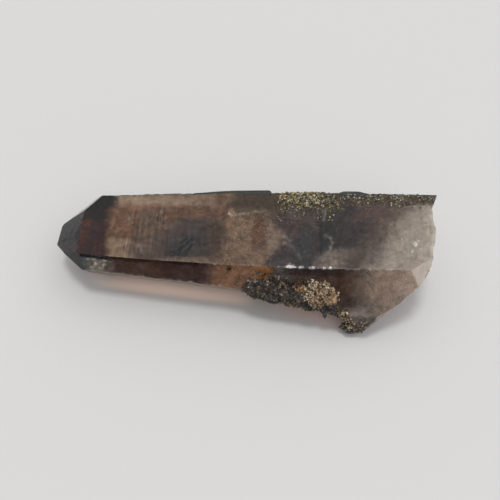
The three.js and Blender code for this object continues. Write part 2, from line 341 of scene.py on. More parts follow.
def relief(g, p):
    """Height of face group g above its plane at the points p, in mm."""
    x, y, z = p.T
    if g < 6:
        # striations run across the prism faces; growth steps end on wandering lines
        line = np.stack([x, 0.12 * y + 3.1 * g, 0.12 * z], 1)
        h = 0.020 * fbm(line, (0.55, 0.5, 0.5), 4, 40 + g)
        h += 0.045 * noise(p, 0.07, 60 + g)
        for k in range(7):
            x0 = -50 + 15.5 * k + 6 * math.sin(2.7 * k + g)
            edge = x - x0 - 2.6 * noise(np.stack([y, z, 0 * x + k], 1), 0.13, 80 + g)
            h += (0.05 if k % 2 else -0.05) * (smooth(-0.35, 0.35, edge) - 0.5) * (0.4 + 0.6 * smooth(-0.1, 0.5, noise(p, 0.05, 90 + g + k)))
        if g == 0:
            rough = smooth(8.5, 10.5, y + 1.4 * noise(p, 0.3, 5)) * smooth(-6, 2, x)
            h += rough * (0.10 * fbm(p, 0.9, 3, 7) - 0.10)
        if g == 3:
            h = np.abs(h) * 0.8
        if g in (1, 2, 4):
            h += 0.10 * smooth(0.05, 0.25, noise(p * (0.35, 1, 1), 0.16, 120 + g)) - 0.05
        if g == 5:
            pit = smooth(0.15, 0.55, fbm(p, 0.8, 3, 9)) * smooth(-38, -46, x) * smooth(-56, -50, x)
            h -= 0.12 * pit
        return h
    if g < 12:
        t = 4.0 * noise(p, 0.085, g + 200) + 0.5 * noise(p, 0.35, g + 210)
        step = np.floor(t)
        return 0.035 * (step + smooth(0.40, 0.60, t - step)) + 0.03 * noise(p, 0.12, g) + 0.010 * fbm(p, 0.8, 3, g + 3)
    if g == 12:
        n = BREAK_FACE[:3] / np.linalg.norm(BREAK_FACE[:3])
        u = np.cross(n, (0, 0, 1))
        u /= np.linalg.norm(u)
        w = np.cross(n, u)
        mid = np.array([44.0, -12.0, 10.0])
        q = p - mid
        return (0.30 * fbm(p, 0.11, 3, 21) + 0.05 * fbm(p, 0.6, 3, 23) - 0.1 - shells(q @ u, q @ w, BREAK_BOWLS)
                - 0.10 * np.abs(noise(p, (0.5, 0.18, 0.5), 24)))
    # the torn root: shells that meet in ridges, calmer just under the top face and near the floor
    calm = (0.22 + 0.78 * smooth(0.2, 4.5, top_z(x) - z)) * (0.10 + 0.90 * smooth(0.0, 4.5, z))
    wob = 0.5 * fbm(p, 0.3, 3, 34)
    h = -shells(y + wob, z - wob, ROOT_BOWLS) * calm
    t = 3.0 * fbm(p, (0.1, 0.07, 0.13), 3, 38) + 0.05 * z
    step = np.floor(t)
    h -= 0.75 * (step + smooth(0.40, 0.60, t - step) + 1.0) * calm
    return h + 0.13 * fbm(p, 0.9, 3, 35) - 0.30 * np.abs(noise(p, (0.4, 0.4, 0.4), 36)) * (0.4 + 0.6 * calm) + 0.35


def displaced(bm, layer):
    bm.verts.ensure_lookup_table()
    bm.verts.index_update()
    n = len(bm.verts)
    pos = np.array([v.co[:] for v in bm.verts])
    normals = {}
    for f in bm.faces:
        g = f[layer]
        fn = f.normal
        for v in f.verts:
            d = normals.setdefault(v.index, {})
            if g in d:
                d[g] += fn
            else:
                d[g] = fn.copy()
    by_count = {}
    for i, d in normals.items():
        by_count.setdefault(len(d), []).append(i)
    used = sorted({g for d in normals.values() for g in d})
    heights = {g: relief(g, pos) for g in used}
    delta = np.zeros((n, 3))
    for k, ids in by_count.items():
        a = np.zeros((len(ids), k, 3))
        b = np.zeros((len(ids), k))
        for r, i in enumerate(ids):
            for c, (g, v) in enumerate(normals[i].items()):
                a[r, c] = v.normalized()
                b[r, c] = heights[g][i]
        m = a @ a.transpose(0, 2, 1) + 0.02 * np.eye(k)
        lam = np.linalg.solve(m, b[:, :, None])[:, :, 0]
        delta[ids] = np.einsum("nk,nkc->nc", lam, a)
    groups = np.zeros(n, int)
    for i, d in normals.items():
        groups[i] = sum(1 << g for g in d)
    return pos + delta, groups


def scoop(pos, centre, radius, keep=1.0):
    """Pushes the points inside a ball out to its surface, towards the crystal's middle line: a shell-shaped chip."""
    d = pos - centre
    r = np.linalg.norm(d, axis=1)
    hit = r < radius
    if hit.any():
        inward = np.stack([np.zeros(hit.sum()), 0.5 - pos[hit, 1], 11 - pos[hit, 2]], 1)
        inward /= np.linalg.norm(inward, axis=1)[:, None]
        dd = d[hit]
        b = (dd * inward).sum(1)
        t = -b + np.sqrt(np.maximum(b * b - (r[hit] ** 2 - radius ** 2), 0))
        pos[hit] += inward * t[:, None] * keep
    return hit


def rim(k, x):
    """A point on long edge k at x: 0 front top, 1 back top, 2 back middle, 5 front middle."""
    c = corners(np.array([x]))[0, k]
    return np.array([x, c[0], c[1]])


def outward(k):
    a = [(-0.55, 0.83), (0.5, 0.87), (1, 0.0), (0.5, -0.87), (-0.5, -0.87), (-1, 0.0)][k]
    return np.array([0, a[0], a[1]]) / math.hypot(*a)


def build_crystal():
    bm, layer = crystal_bmesh()
    pos, groups = displaced(bm, layer)
    rng = np.random.default_rng(11)
    chip = np.zeros(len(pos))
    # chips along the front top edge, the strongest in a row near the middle of the root half
    rows = [(9.4, 0.5, 0.25, 0.5), (11.7, 0.6, 0.35, 0.7), (12.4, 0.7, 0.42, 1.0), (13.2, 0.85, 0.55, 1.0), (14.3, 0.6, 0.35, 0.8), (15.9, 0.7, 0.4, 0.8),
            (16.8, 0.5, 0.25, 0.5), (18.9, 0.55, 0.3, 0.65), (19.8, 0.7, 0.4, 0.75), (22.9, 0.6, 0.35, 0.75), (24.9, 0.7, 0.4, 0.8),
            (26.0, 0.5, 0.25, 0.5)]
    for x, r, d, w in rows:
        c = rim(0, x) + outward(0) * (r - d) + np.array([0, 0.45 * r, 0])
        near = np.linalg.norm(pos - c, axis=1)
        h = scoop(pos, c, r)
        chip[h] = np.maximum(chip[h], w * smooth(1.0, 0.5, near[h] / r * 0.8))
    for _ in range(60):
        x = rng.uniform(-50, 52)
        r = rng.uniform(0.25, 0.55)
        c = rim(0, x) + outward(0) * r * rng.uniform(0.5, 0.8)
        h = scoop(pos, c, r)
        chip[h] = np.maximum(chip[h], 0.3)
    for k, n in ((1, 90), (2, 60), (5, 90), (3, 20), (4, 20)):
        for _ in range(n):
            x = rng.uniform(-48, 54)
            r = rng.uniform(0.3, 1.1)
            c = rim(k, x) + outward(k) * r * rng.uniform(0.45, 0.8)
            h = scoop(pos, c, r)
            chip[h] = np.maximum(chip[h], 0.35)
    # cleaved corner where the front top edge meets the root
    for three, mark in ((((48.7, -13.4, 24.1), (51.6, -16.6, 18.9), (53.6, -10.0, 24.4)), 2.0),
                        (((51.2, -15.9, 20.2), (51.6, -17.6, 17.4), (53.9, -12.6, 24.0)), 3.0)):
        a, b, c = (np.array(q) for q in three)
        nrm = np.cross(b - a, c - a)
        nrm /= np.linalg.norm(nrm)
        if nrm @ (0.5, -0.6, 0.4) < 0:
            nrm = -nrm
        d = (pos - a) @ nrm
        h = (d > 0) & (pos[:, 0] > 46) & (pos[:, 2] > 15)
        pos[h] -= nrm * (d[h] * (1.0 - 0.03 * noise(pos[h], 0.8, 37)))[:, None]
        chip[h] = mark
    pos[:, 2] = np.maximum(pos[:, 2], 0.0)
    for v, p in zip(bm.verts, pos):
        v.co = p
    bmesh.ops.triangulate(bm, faces=[f for f in bm.faces if len(f.verts) > 4])
    me = bpy.data.meshes.new("quartz_crystal_body")
    bm.to_mesh(me)
    bm.free()
    a = me.attributes.new("chip", "FLOAT", "POINT")
    a.data.foreach_set("value", chip.astype(np.float32))
    return me


# ------------------------------------------------- small crystal at the root, growth plates on the back
SIDE_TIP = np.array([28.7, -21.95, 2.75])
SIDE_AXIS = np.array([-0.985, -0.14, -0.04]) / np.linalg.norm([-0.985, -0.14, -0.04])
SIDE_RADIUS, SIDE_POINT, SIDE_LENGTH = 2.55, 3.3, 11.5
BACK_STEPS = [(-19.0, 5.8, 8.5, 0.75, 13.5, 0.9), (26.6, 36.0, 6.5, 0.62, 2.2, 3.4)]


def side_crystal():
    """A stubby six-sided crystal pointing to -X, worn and scarred."""
    up = np.array([0, 0, 1.0])
    u = np.cross(up, SIDE_AXIS)
    u /= np.linalg.norm(u)
    w = np.cross(SIDE_AXIS, u)
    hexagon = [(math.cos(math.radians(12 + 60 * k)), math.sin(math.radians(12 + 60 * k))) for k in range(6)]
    per = 8
    stations = [(0.02, 0.02), (0.25, 0.24), (0.5, 0.49), (0.75, 0.73), (1.0, 0.97)]
    stations = [(SIDE_POINT * a, SIDE_RADIUS * b) for a, b in stations]
    stations += [(SIDE_POINT + (SIDE_LENGTH - SIDE_POINT) * k / 14, SIDE_RADIUS * (0.97 + 0.03 * k / 14)) for k in range(1, 15)]
    verts, groups, faces = [], [], []
    for d, r in stations:
        for k in range(6):
            a, b = np.array(hexagon[k]), np.array(hexagon[(k + 1) % 6])
            for j in range(per):
                q = (a + (b - a) * j / per) * r
                verts.append(SIDE_TIP - SIDE_AXIS * d + u * q[0] + w * q[1])
    n = 6 * per
    for s in range(len(stations) - 1):
        for i in range(n):
            faces.append((s * n + i, s * n + (i + 1) % n, (s + 1) * n + (i + 1) % n, (s + 1) * n + i))
            groups.append(15 if s < 4 else 14)
    faces.append(tuple(range(n))[::-1])
    groups.append(15)
    m = len(stations) - 1
    faces.append(tuple(m * n + i for i in range(n)))
    groups.append(14)
    v = np.array(verts)
    mid = SIDE_TIP - SIDE_AXIS * np.clip(((SIDE_TIP - v) * SIDE_AXIS).sum(1), 0, None)[:, None]
    out = v - mid
    out /= np.maximum(np.linalg.norm(out, axis=1), 1e-6)[:, None]
    v = v - out * (0.16 * (fbm(v, 0.9, 3, 410) + 0.55))[:, None]
    return v, faces, groups


def back_plate(x0, x1, width, thick, ramp0, ramp1):
    """A raised growth layer on the upper back face, its top flush with the top face."""
    nx, nw = int((x1 - x0) / 0.35), int(width / 0.35)
    xs = np.linspace(x0, x1, nx + 1)
    rows = []
    for i, x in enumerate(xs):
        c = corners(np.array([x]))[0]
        a, b = c[1], c[2]
        d = (b - a) / np.linalg.norm(b - a)
        nrm = np.array([-d[1], d[0]])
        if nrm[0] < 0:
            nrm = -nrm
        k = (x - x0) / (x1 - x0)
        reach = width * (0.30 + 0.70 * math.sin(math.pi * min(1, max(0, 0.08 + 0.84 * k))) ** 0.8)
        reach *= 1 + 0.22 * noise(np.array([[x, 3.3, 1.1]]), 0.35, 76)[0] + 0.10 * noise(np.array([[x, 7.3, 1.1]]), 1.3, 79)[0]
        reach = min(reach, width)
        row = []
        for j in range(nw + 1):
            t = reach * j / nw
            w = a + d * t
            e = min(x - x0, x1 - x)
            run = 1 + 0.25 * noise(np.array([[0.0, t, 2.0]]), 0.4, 75)[0]
            h = thick * min(float(smooth(0.0, 0.3, e)), float(smooth(-0.2 * ramp0, ramp0, (x - x0) * run)), float(smooth(0, ramp1, (x1 - x) * run)),
                            float(smooth(-0.1, 1.0, (reach - t) * 0.6)))
            h = h * (1 - 0.45 * float(smooth(0.35, 0.45, t / width + 0.12 * noise(np.array([[x, t, 0.0]]), 0.5, 77)[0]))) - 0.02
            if i in (0, nx) or j == nw:
                h = -0.4
            top = w + nrm * h
            if j == 0:
                top = np.array([w[0] + nrm[0] * h * 1.12, top_z(x) - 0.02])
            low = w - nrm * 0.8 if j else np.array([w[0] - 0.8, top_z(x) - 0.03])
            row.append((np.array([x, *top]), np.array([x, *low])))
        rows.append(row)
    nj = nw + 1
    v, faces = [], []
    for side in (0, 1):
        for row in rows:
            for q in row:
                v.append(q[side])
    base = (nx + 1) * nj
    for i in range(nx):
        for j in range(nw):
            a = i * nj + j
            faces.append((a, a + 1, a + nj + 1, a + nj))
            faces.append((base + a, base + a + nj, base + a + nj + 1, base + a + 1))
    for i in range(nx):
        a = i * nj
        faces.append((a, a + nj, base + a + nj, base + a))
        a = i * nj + nw
        faces.append((a, base + a, base + a + nj, a + nj))
    for j in range(nw):
        a = j
        faces.append((a, base + a, base + a + 1, a + 1))
        a = nx * nj + j
        faces.append((a, a + 1, base + a + 1, base + a))
    v = np.array(v)
    v[:base] += np.stack([0 * v[:base, 0], 0.03 * noise(v[:base], 0.8, 78), 0 * v[:base, 0]], 1)
    return v, faces, [16] * len(faces)


def mesh_from(name, v, faces, groups):
    me = bpy.data.meshes.new(name)
    me.from_pydata([tuple(q) for q in v], [], [tuple(f) for f in faces])
    bm = bmesh.new()
    bm.from_mesh(me)
    layer = bm.faces.layers.int.new("group")
    bm.faces.ensure_lookup_table()
    for f, g in zip(bm.faces, groups):
        f[layer] = g
    bmesh.ops.triangulate(bm, faces=[f for f in bm.faces if len(f.verts) > 4])
    bmesh.ops.recalc_face_normals(bm, faces=bm.faces[:])
    bm.to_mesh(me)
    bm.free()
    a = me.attributes.new("chip", "FLOAT", "POINT")
    a.data.foreach_set("value", np.zeros(len(me.vertices), np.float32))
    return me


def join_solids(base, others):
    """The union of closed meshes."""
    ob = bpy.data.objects.new("join_base", base)
    bpy.context.scene.collection.objects.link(ob)
    extra = []
    for other in others:
        oo = bpy.data.objects.new("join_other", other)
        bpy.context.scene.collection.objects.link(oo)
        extra.append(oo)
        md = ob.modifiers.new("join", "BOOLEAN")
        md.operation, md.object, md.solver = "UNION", oo, "MANIFOLD"
    dg = bpy.context.evaluated_depsgraph_get()
    out = bpy.data.meshes.new_from_object(ob.evaluated_get(dg), depsgraph=dg)
    for oo in extra + [ob]:
        bpy.data.objects.remove(oo)
    return out


body = build_crystal()
parts = [mesh_from("side_crystal", *side_crystal())] + [mesh_from("growth_plate", *back_plate(*s)) for s in BACK_STEPS]
n_before = len(body.polygons)
me = join_solids(body, parts)
print("crystal polygons", n_before, "joined", len(me.polygons))


def cut_side(me):
    """Trims what the small crystal leaves outside the slanting break and the floor."""
    bm = bmesh.new()
    bm.from_mesh(me)
    layer = bm.faces.layers.int["group"]
    faces = [f for f in bm.faces if f[layer] in (14, 15)]
    vs = {v for f in faces for v in f.verts}
    nrm = Vector(BREAK_FACE[:3])
    nrm_l = nrm.length
    for v in vs:
        d = (v.co.dot(nrm) - BREAK_FACE[3]) / nrm_l
        if d > 0:
            v.co -= nrm * (d / nrm_l)
        v.co.z = max(v.co.z, 0.0)
    bm.to_mesh(me)
    bm.free()


cut_side(me)
me.name = "quartz_crystal_fine"


# ----------------------------------------------------------------- where things lie on it
nv, nl, nf = len(me.vertices), len(me.loops), len(me.polygons)
pos = np.zeros(nv * 3)
me.vertices.foreach_get("co", pos)
pos = pos.reshape(-1, 3)
loop_vert = np.zeros(nl, np.int32)
me.loops.foreach_get("vertex_index", loop_vert)
face_total = np.zeros(nf, np.int32)
me.polygons.foreach_get("loop_total", face_total)
group = np.zeros(nf, np.int32)
me.attributes["group"].data.foreach_get("value", group)
chip = np.zeros(nv, np.float32)
me.attributes["chip"].data.foreach_get("value", chip)
loop_group = np.repeat(group, face_total)
pair = loop_vert.astype(np.int64) * 32 + loop_group
uniq, inv = np.unique(pair, return_inverse=True)
PV, PG = uniq // 32, uniq % 32
P = pos[PV]
PCHIP = chip[PV]
solid = BVHTree.FromPolygons([Vector(q) for q in pos], [tuple(f.vertices) for f in me.polygons])


def srgb(c):
    c = np.asarray(c, float) / 255.0
    return np.where(c <= 0.04045, c / 12.92, ((c + 0.055) / 1.055) ** 2.4)


# What reaches the eye from a face of clear quartz here: its gloss, and what comes through a white surface;
# and how strongly a scattering surface is lit.
LIT = {"top": ((0.033, 0.038, 0.040), (0.030, 0.012, 0.004), 0.92),
       "front": ((0.008, 0.009, 0.009), (0.056, 0.022, 0.012), 0.50),
       "point": ((0.052, 0.054, 0.058), (0.030, 0.018, 0.010), 0.70),
       "other": ((0.030, 0.030, 0.030), (0.085, 0.042, 0.018), 0.60)}


def surface(look, haze, where):
    """How much the surface scatters, and its colour, for the look wanted: no more scattering than the look needs."""
    gloss, through, light = LIT[where]
    want = np.maximum(srgb(look) - np.array(gloss), 0.002)
    rest = np.maximum(want - 0.8 * np.array(through), 0.0).max(1)
    h = np.clip(np.maximum(rest / (0.78 * light), 0.4 * haze), 0.015, 0.9)
    a = h[:, None] * light
    b = (1 - h[:, None]) * np.array(through)
    root = (-b + np.sqrt(b * b + 4 * a * want)) / (2 * a)
    return np.clip(root * root, 0.004, 0.9), h


def lay(look, haze, w, colour, amount):
    """Lays a zone over the look (colour as it should appear, scattering amount) with weight w."""
    w = np.clip(w, 0, 1)
    look += (np.array(colour, float) - look) * w[:, None]
    haze += (amount - haze) * w


def band(a, b, v, soft):
    return smooth(a - soft, a + soft, v) * (1 - smooth(b - soft, b + soft, v))


n = len(P)
look = np.zeros((n, 3))
haze = np.zeros(n)
rough = np.full(n, 0.10)
speck = np.zeros(n)
scuff = np.zeros(n)
lines = np.full(n, 0.25)
tint = np.zeros((n, 3))
x, y, z = P.T
wander = fbm(P, 0.16, 3, 300)
wander2 = fbm(P, 0.45, 3, 301)
wx = x + 1.3 * wander + 0.5 * wander2
mottle = (1 + 0.11 * fbm(P, 0.30, 3, 305) + 0.07 * noise(P, 1.0, 306))[:, None]
wy = y + 1.0 * fbm(P, 0.18, 3, 302) + 0.4 * wander2

# hair-like dark inclusions just under the top face: (x, y, reach along x, reach along y)
STROKES = [(-18.6, -5.6, 2.0, 1.8), (-19.6, -6.6, 1.6, 1.4), (-21.4, -9.2, 0.5, 1.5), (-20.4, -9.0, 0.6, 1.6),
           (-19.2, -9.4, 0.9, 1.4), (-18.2, -8.8, 0.7, 1.7), (-20.0, -7.4, 1.4, 0.7), (-17.6, -7.4, 0.6, 1.0),
           (-22.4, -9.8, 0.3, 1.2), (-19.9, -5.0, 0.9, 0.8)]

# --- top face
m = PG == 0
lk, hz = np.tile(np.array([100.0, 82.0, 72.0]), (n, 1)), np.full(n, 0.12)
lay(lk, hz, band(-46, -29, wx, 1.0), (107, 85, 73), 0.14)
# painted light: these zones make the lighter strip along the back of the top face, which stands for the paper behind
# the crystal seen through it
lay(lk, hz, band(-46, -12, wx, 1.6) * smooth(6.6, 10.0, wy), (138, 120, 105), 0.20)
lay(lk, hz, smooth(-22, -15, wx) * (1 - smooth(-13, -11, wx)) * smooth(8.0, 9.8, wy), (122, 103, 89), 0.20)
lay(lk, hz, 0.9 * band(-46, -12, wx, 1.0) * smooth(11.2, 12.8, wy), (114, 99, 86), 0.20)
lay(lk, hz, 0.5 * band(-45, -30, wx, 1.6) * band(6.6, 8.4, wy, 0.9), (110, 86, 75), 0.10)
lay(lk, hz, band(-45.5, -31, wx + 0.25 * wy, 0.8) * (1 - smooth(-5.5, -4.2, wy)), (125, 106, 91), 0.18)
lay(lk, hz, band(-36, -27, wx, 2.2) * (1 - smooth(5, 8, wy)), (97, 84, 76), 0.12)
lay(lk, hz, band(-27, -7.2, wx, 1.2) * smooth(3.5, 5.5, wy) * (1 - smooth(7.2, 9.4, wy)), (99, 79, 70), 0.10)
lay(lk, hz, 0.55 * band(-20, -13, wx, 2.0) * band(6.6, 9.0, wy, 1.2), (94, 81, 70), 0.12)
fray = 1.2 * noise(np.stack([x * 1.6, 0.05 * y, 0 * x], 1), 1.0, 303)
# painted shade: c is a dark grey zone that stands for the shadowed floor and the dark bottom faces seen through the top
# face
c = smooth(-33, -21.0, wx + 0.8 * fray) * (1 - smooth(-9.6, -6.2, x + 1.6 * wander2 + 0.9 * wander + 0.035 * (y + 3.5) ** 2)) * (1 - smooth(0.8, 5.6, wy + 0.8 * wander + 0.022 * (x + 14.5) ** 2)) * smooth(-13.8, -9.6, wy)
c = c * (1 - 0.85 * smooth(-0.8, 0.8, (x + 20) * 0.36 - (y + 13.2) * 1.0) * smooth(-20, -16, x))
lay(lk, hz, c, (77, 72, 70), 0.03)
lay(lk, hz, c * smooth(-16.5, -11.5, wx + 1.5 * wander), (85, 72, 65), 0.06)
lay(lk, hz, band(-27, -5, wx, 2) * (1 - smooth(-12.2, -10.4, wy)), (109, 94, 84), 0.12)
lay(lk, hz, band(-6.9, 5.5, x + 0.5 * wander2, 0.5) * (1 - smooth(6.5, 8.0, wy)), (112, 94, 81), 0.18)
lay(lk, hz, band(0.8, 5.2, wx, 1.0) * (1 - smooth(5.6, 7.2, wy)) * smooth(-9, -5, wy), (97, 77, 67), 0.12)
bulge = 5.6 + 5.4 * np.exp(-((y + 3.5) / 4.6) ** 2) + 0.9 * fray
lay(lk, hz, smooth(4.6, 6.4, wx) * (1 - smooth(-1.5, 1.5, wx - bulge)), (119, 103, 92), 0.16)
# painted shade: e is a second dark grey zone that stands for the shadowed floor under the crystal seen through the top
# face
e = smooth(-1.6, 2.2, wx - bulge) * (1 - smooth(28, 33, wx - 0.2 * wy))
lay(lk, hz, e, (80, 71, 69), 0.03)
lay(lk, hz, e * smooth(20, 23, wx), (66, 64, 63), 0.03)
lay(lk, hz, e * band(14.5, 19.5, wx, 1.5) * (1 - smooth(-2, 4, wy)), (73, 70, 68), 0.06)
lay(lk, hz, e * band(21.3, 22.0, x + 0.05 * y, 0.25) * (1 - smooth(6, 8, wy)), (57, 54, 54), 0.02)
lay(lk, hz, band(-7.0, 28, wx - 0.25 * (wy - 9), 2.2) * smooth(6.4, 8.4, wy), (71, 65, 59), 0.60)
lay(lk, hz, 0.8 * band(-5.4, 9.0, wx, 0.8) * band(4.6, 8.0, wy + 0.5 * wander2, 0.9), (86, 77, 69), 0.25)
u = wx - (33.5 + 0.55 * wy)
lay(lk, hz, smooth(-8, -1, u), (70, 66, 66), 0.06)
lay(lk, hz, smooth(-1, 6.5, u), (87, 80, 75), 0.20)
lay(lk, hz, band(-6, 3, u, 2.5) * (1 - smooth(-8.5, -5, wy)), (117, 104, 96), 0.20)
lay(lk, hz, smooth(4.5, 15, u), (143, 134, 125), 0.50)
lay(lk, hz, smooth(14, 24, u), (152, 143, 133), 0.60)
lay(lk, hz, band(31, 41, wx, 2) * band(5.5, 11, wy, 1.2), (78, 68, 67), 0.05)
lay(lk, hz, 0.75 * smooth(-1.7, -0.5, x - root_x(y, z) + 0.5 * wander2) * (1 - smooth(9, 11, y)), (186, 177, 167), 0.6)
strip = smooth(28, 31, wx) * smooth(9.6, 11.4, wy + 0.10 * (45 - x) * 0.2)
lay(lk, hz, strip, (72, 66, 61), 0.20)
# painted shade: the dark band at the point end of the top face stands for the dark underside of the point seen through
# it
painted_point_shade = 1 - smooth(-47.4, -42.9, x + 0.42 * (y - 2) * 0.25 + 0.35 * wander2 + 1.2 * (y > 6) * smooth(6, 9, y) * -1.6)
lay(lk, hz, painted_point_shade, (61, 51, 47), 0.03)
lay(lk, hz, painted_point_shade * smooth(6.5, 8.5, wy), (52, 51, 46), 0.02)
lay(lk, hz, painted_point_shade * band(-47.5, -44, wx, 0.8) * (1 - smooth(5, 7, wy)), (70, 56, 51), 0.05)
lay(lk, hz, 0.7 * painted_point_shade * (1 - smooth(-50.5, -48.5, wx)) * (1 - smooth(4, 7, wy)), (74, 62, 58), 0.08)
lay(lk, hz, 0.7 * smooth(-0.55, -0.2, y - edge61(x)) * smooth(-46, -42, x) * (1 - smooth(10, 14, x)), (74, 68, 60), 0.05)
look[m], haze[m] = lk[m], hz[m]
e12 = y - edge12(x)
# pale line along the front edge of this face
line = (1 - smooth(0.12, 0.42, e12)) * (1 - smooth(47, 50, x)) * (0.3 + 0.7 * smooth(-0.2, 0.4, noise(P, 0.5, 311)))
scuff = np.where(m, np.maximum(scuff, 0.10 * line * smooth(-57, -54, x)), scuff)
for sx, ln, k, lean in ((12.0, 1.7, 0.9, 0.1), (12.9, 2.1, 1.0, -0.1), (13.7, 1.4, 0.9, 0.2), (15.8, 0.8, 0.6, 0.0), (16.7, 0.9, 0.6, 0.1), (18.8, 0.9, 0.5, 0.0),
                        (19.9, 0.8, 0.6, -0.2), (22.7, 0.9, 0.5, 0.1), (24.9, 1.0, 0.6, 0.0), (10.6, 0.6, 0.4, 0.0)):
    scuff = np.where(m, np.maximum(scuff, k * np.exp(-((x - sx - lean * e12) / 0.27) ** 2) * (1 - smooth(0.35 * ln, ln, e12))), scuff)
# scuffed line and rough ground behind it
s_y = 5.6 + 0.12 * (x + 7) + 0.7 * noise(np.stack([x, 0 * x, 0 * x], 1), 0.5, 312)
s_w = np.exp(-((y - s_y) / 0.5) ** 2) * band(-7.2, 10, x, 0.4) * (0.35 + 0.65 * (1 - smooth(-2, 6, x)))
s_w += 0.9 * np.exp(-((x + 6.4) / 0.8) ** 2) * band(4.6, 8.4, y, 0.5)
s_w = s_w * (0.30 + 0.70 * smooth(-0.25, 0.45, fbm(P, 0.9, 3, 313)))
scuff = np.where(m, np.maximum(scuff, 0.62 * np.clip(s_w, 0, 1)), scuff)
speck = np.where(m, np.clip(0.8 * band(-7, 7, wx, 0.8) * (1 - smooth(6, 8, wy)) + 0.9 * strip
                            + 0.7 * band(-7.4, 28, wx, 0.8) * smooth(6.8, 8.2, wy)
                            + 0.35 * band(-13, -7, wx, 1) + 0.25 * band(12, 24, wx, 2), 0, 1), speck)
lines = np.where(m, 0.18 + 0.9 * band(-38, -21, wx, 2.5) * (1 - smooth(6, 9, wy)) + 0.3 * band(10, 30, wx, 3) + 0.25 * band(-20, -8, wx, 2), lines)
rough = np.where(m, 0.10 + 0.22 * band(-7.4, 28, wx, 0.8) * smooth(6.8, 8.2, wy) + 0.25 * strip + 0.12 * smooth(2, 14, u)
                 + 0.06 * band(-7, 7, wx, 1), rough)
for x0, y0, x1, y1, wdt, k in ((24.2, -7.6, 25.3, -4.4, 0.34, 0.75), (25.3, -4.4, 24.6, -2.6, 0.34, 0.7), (24.6, -2.6, 22.9, -1.5, 0.36, 0.55),
                               (10.4, -2.3, 12.6, -4.1, 0.4, 0.6), (11.0, -4.8, 13.6, -6.3, 0.36, 0.5), (22.4, 4.2, 22.9, 7.8, 0.36, 0.6),
                               (21.9, 7.4, 23.2, 8.6, 0.36, 0.6), (15.0, -8.2, 15.9, -10.9, 0.36, 0.4), (24.9, -9.8, 25.2, -12.6, 0.4, 0.3),
                               (-38.4, 2.6, -37.8, 4.0, 0.6, 0.5), (12.0, 7.0, 13.6, 7.2, 0.4, 0.6), (-33.5, -7.0, -32.7, -9.2, 0.5, 0.45)):
    a, b = np.array([x0, y0]), np.array([x1, y1])
    q = np.stack([x, y], 1) - a
    t = np.clip((q @ (b - a)) / ((b - a) @ (b - a)), 0, 1)
    dist = np.linalg.norm(q - t[:, None] * (b - a), axis=1)
    lay(lk, hz, k * np.exp(-(dist / wdt) ** 2), (136, 132, 127), 0.4)
near = (np.abs(x + 19.5) < 6) & (np.abs(y + 7.5) < 6)
for k, (cx, cy, lx, ly) in enumerate(STROKES):
    t = np.linspace(-1, 1, 9)
    sx = cx + lx * t * 0.7 + 0.15 * np.sin(5 * t + k)
    sy = cy + ly * (t if k % 2 else 0.6 * t + 0.4 * np.sin(3 * t)) * 0.9
    dist = np.full(n, 9.0)
    dist[near] = np.min(np.hypot(x[near, None] - sx, y[near, None] - sy), 1)
    # painted highlight: a pale line laid just beside each dark inclusion
    painted_highlight_dist = np.full(n, 9.0)
    painted_highlight_dist[near] = np.min(np.hypot(x[near, None] - sx - 0.45, y[near, None] - sy), 1)
    lay(lk, hz, 0.35 * np.exp(-(painted_highlight_dist / 0.28) ** 2), (92, 90, 88), 0.05)
    lay(lk, hz, 0.9 * np.exp(-(dist / 0.30) ** 2), (44, 47, 48), 0.02)
look[m], haze[m] = lk[m], hz[m]
# sparkling crumbs in the milky end
for sx, sy, r, k in ((49.7, -3.9, 0.42, 1.0), (50.6, -3.2, 0.34, 1.0), (49.9, -4.7, 0.34, 0.9), (50.2, -4.1, 0.3, 0.9), (51.2, -6.0, 0.24, 0.7), (48.9, -6.9, 0.3, 0.7),
                     (49.1, -6.4, 0.2, 0.5), (46.0, -2.4, 0.2, 0.4), (51.6, -2.9, 0.2, 0.5)):
    scuff = np.where(m, np.maximum(scuff, k * np.exp(-((x - sx) ** 2 + (y - sy) ** 2) / r ** 2)), scuff)
tint[m], haze[m] = surface(look[m] * mottle[m], haze[m], "top")

# --- front face below the front top edge; d is the distance down it
m = PG == 5
d = np.hypot(y - edge12(x), z - top_z(x))
wd = d + 0.5 * wander + 0.3 * wander2
lk, hz = np.tile(np.array([70.0, 51.0, 46.0]), (n, 1)), np.full(n, 0.05)
lay(lk, hz, (0.8 * np.exp(-((wx + 26.0) / 3.4) ** 2) + 0.7 * np.exp(-((wx + 15.2) / 1.8) ** 2)) * (1 - 0.6 * smooth(1.6, 4.2, wd)), (57, 40, 35), 0.03)
lay(lk, hz, 1 - smooth(-52, -46, wx), (66, 59, 57), 0.05)
lay(lk, hz, band(-50, -42.5, wx + 0.8 * wander2, 3.4) * smooth(0.6, 1.8, wd), (99, 84, 74), 0.32)
lay(lk, hz, band(-8.8, 8.4, wx + 0.45 * d + 1.5 * wander, 3.4), (96, 69, 55), 0.15)
lay(lk, hz, 0.45 * band(-6.0, -1.0, wx + 0.3 * d, 2.5) * smooth(0.6, 2.0, wd), (112, 82, 65), 0.16)
lay(lk, hz, band(-3, 8, wx, 1.5) * band(0.8, 5, wd, 0.8), (97, 71, 56), 0.14)
lay(lk, hz, 0.8 * smooth(1.5, 5.5, wx) * (1 - smooth(7.3, 8.3, x + 0.25 * d)) * (1 - smooth(2.8, 5.5, wd)) * smooth(0.1, 0.5, d), (97, 63, 40), 0.16)
lay(lk, hz, smooth(7.9, 8.7, x + 0.25 * d) * (1 - smooth(12, 17, wx)) * (1 - smooth(4, 7, wd)), (80, 67, 61), 0.09)
lay(lk, hz, smooth(8.4, 9.4, x + 0.25 * d) * smooth(3, 6, wd), (60, 47, 42), 0.05)
lay(lk, hz, smooth(12, 16, wx), (76, 56, 48), 0.05)
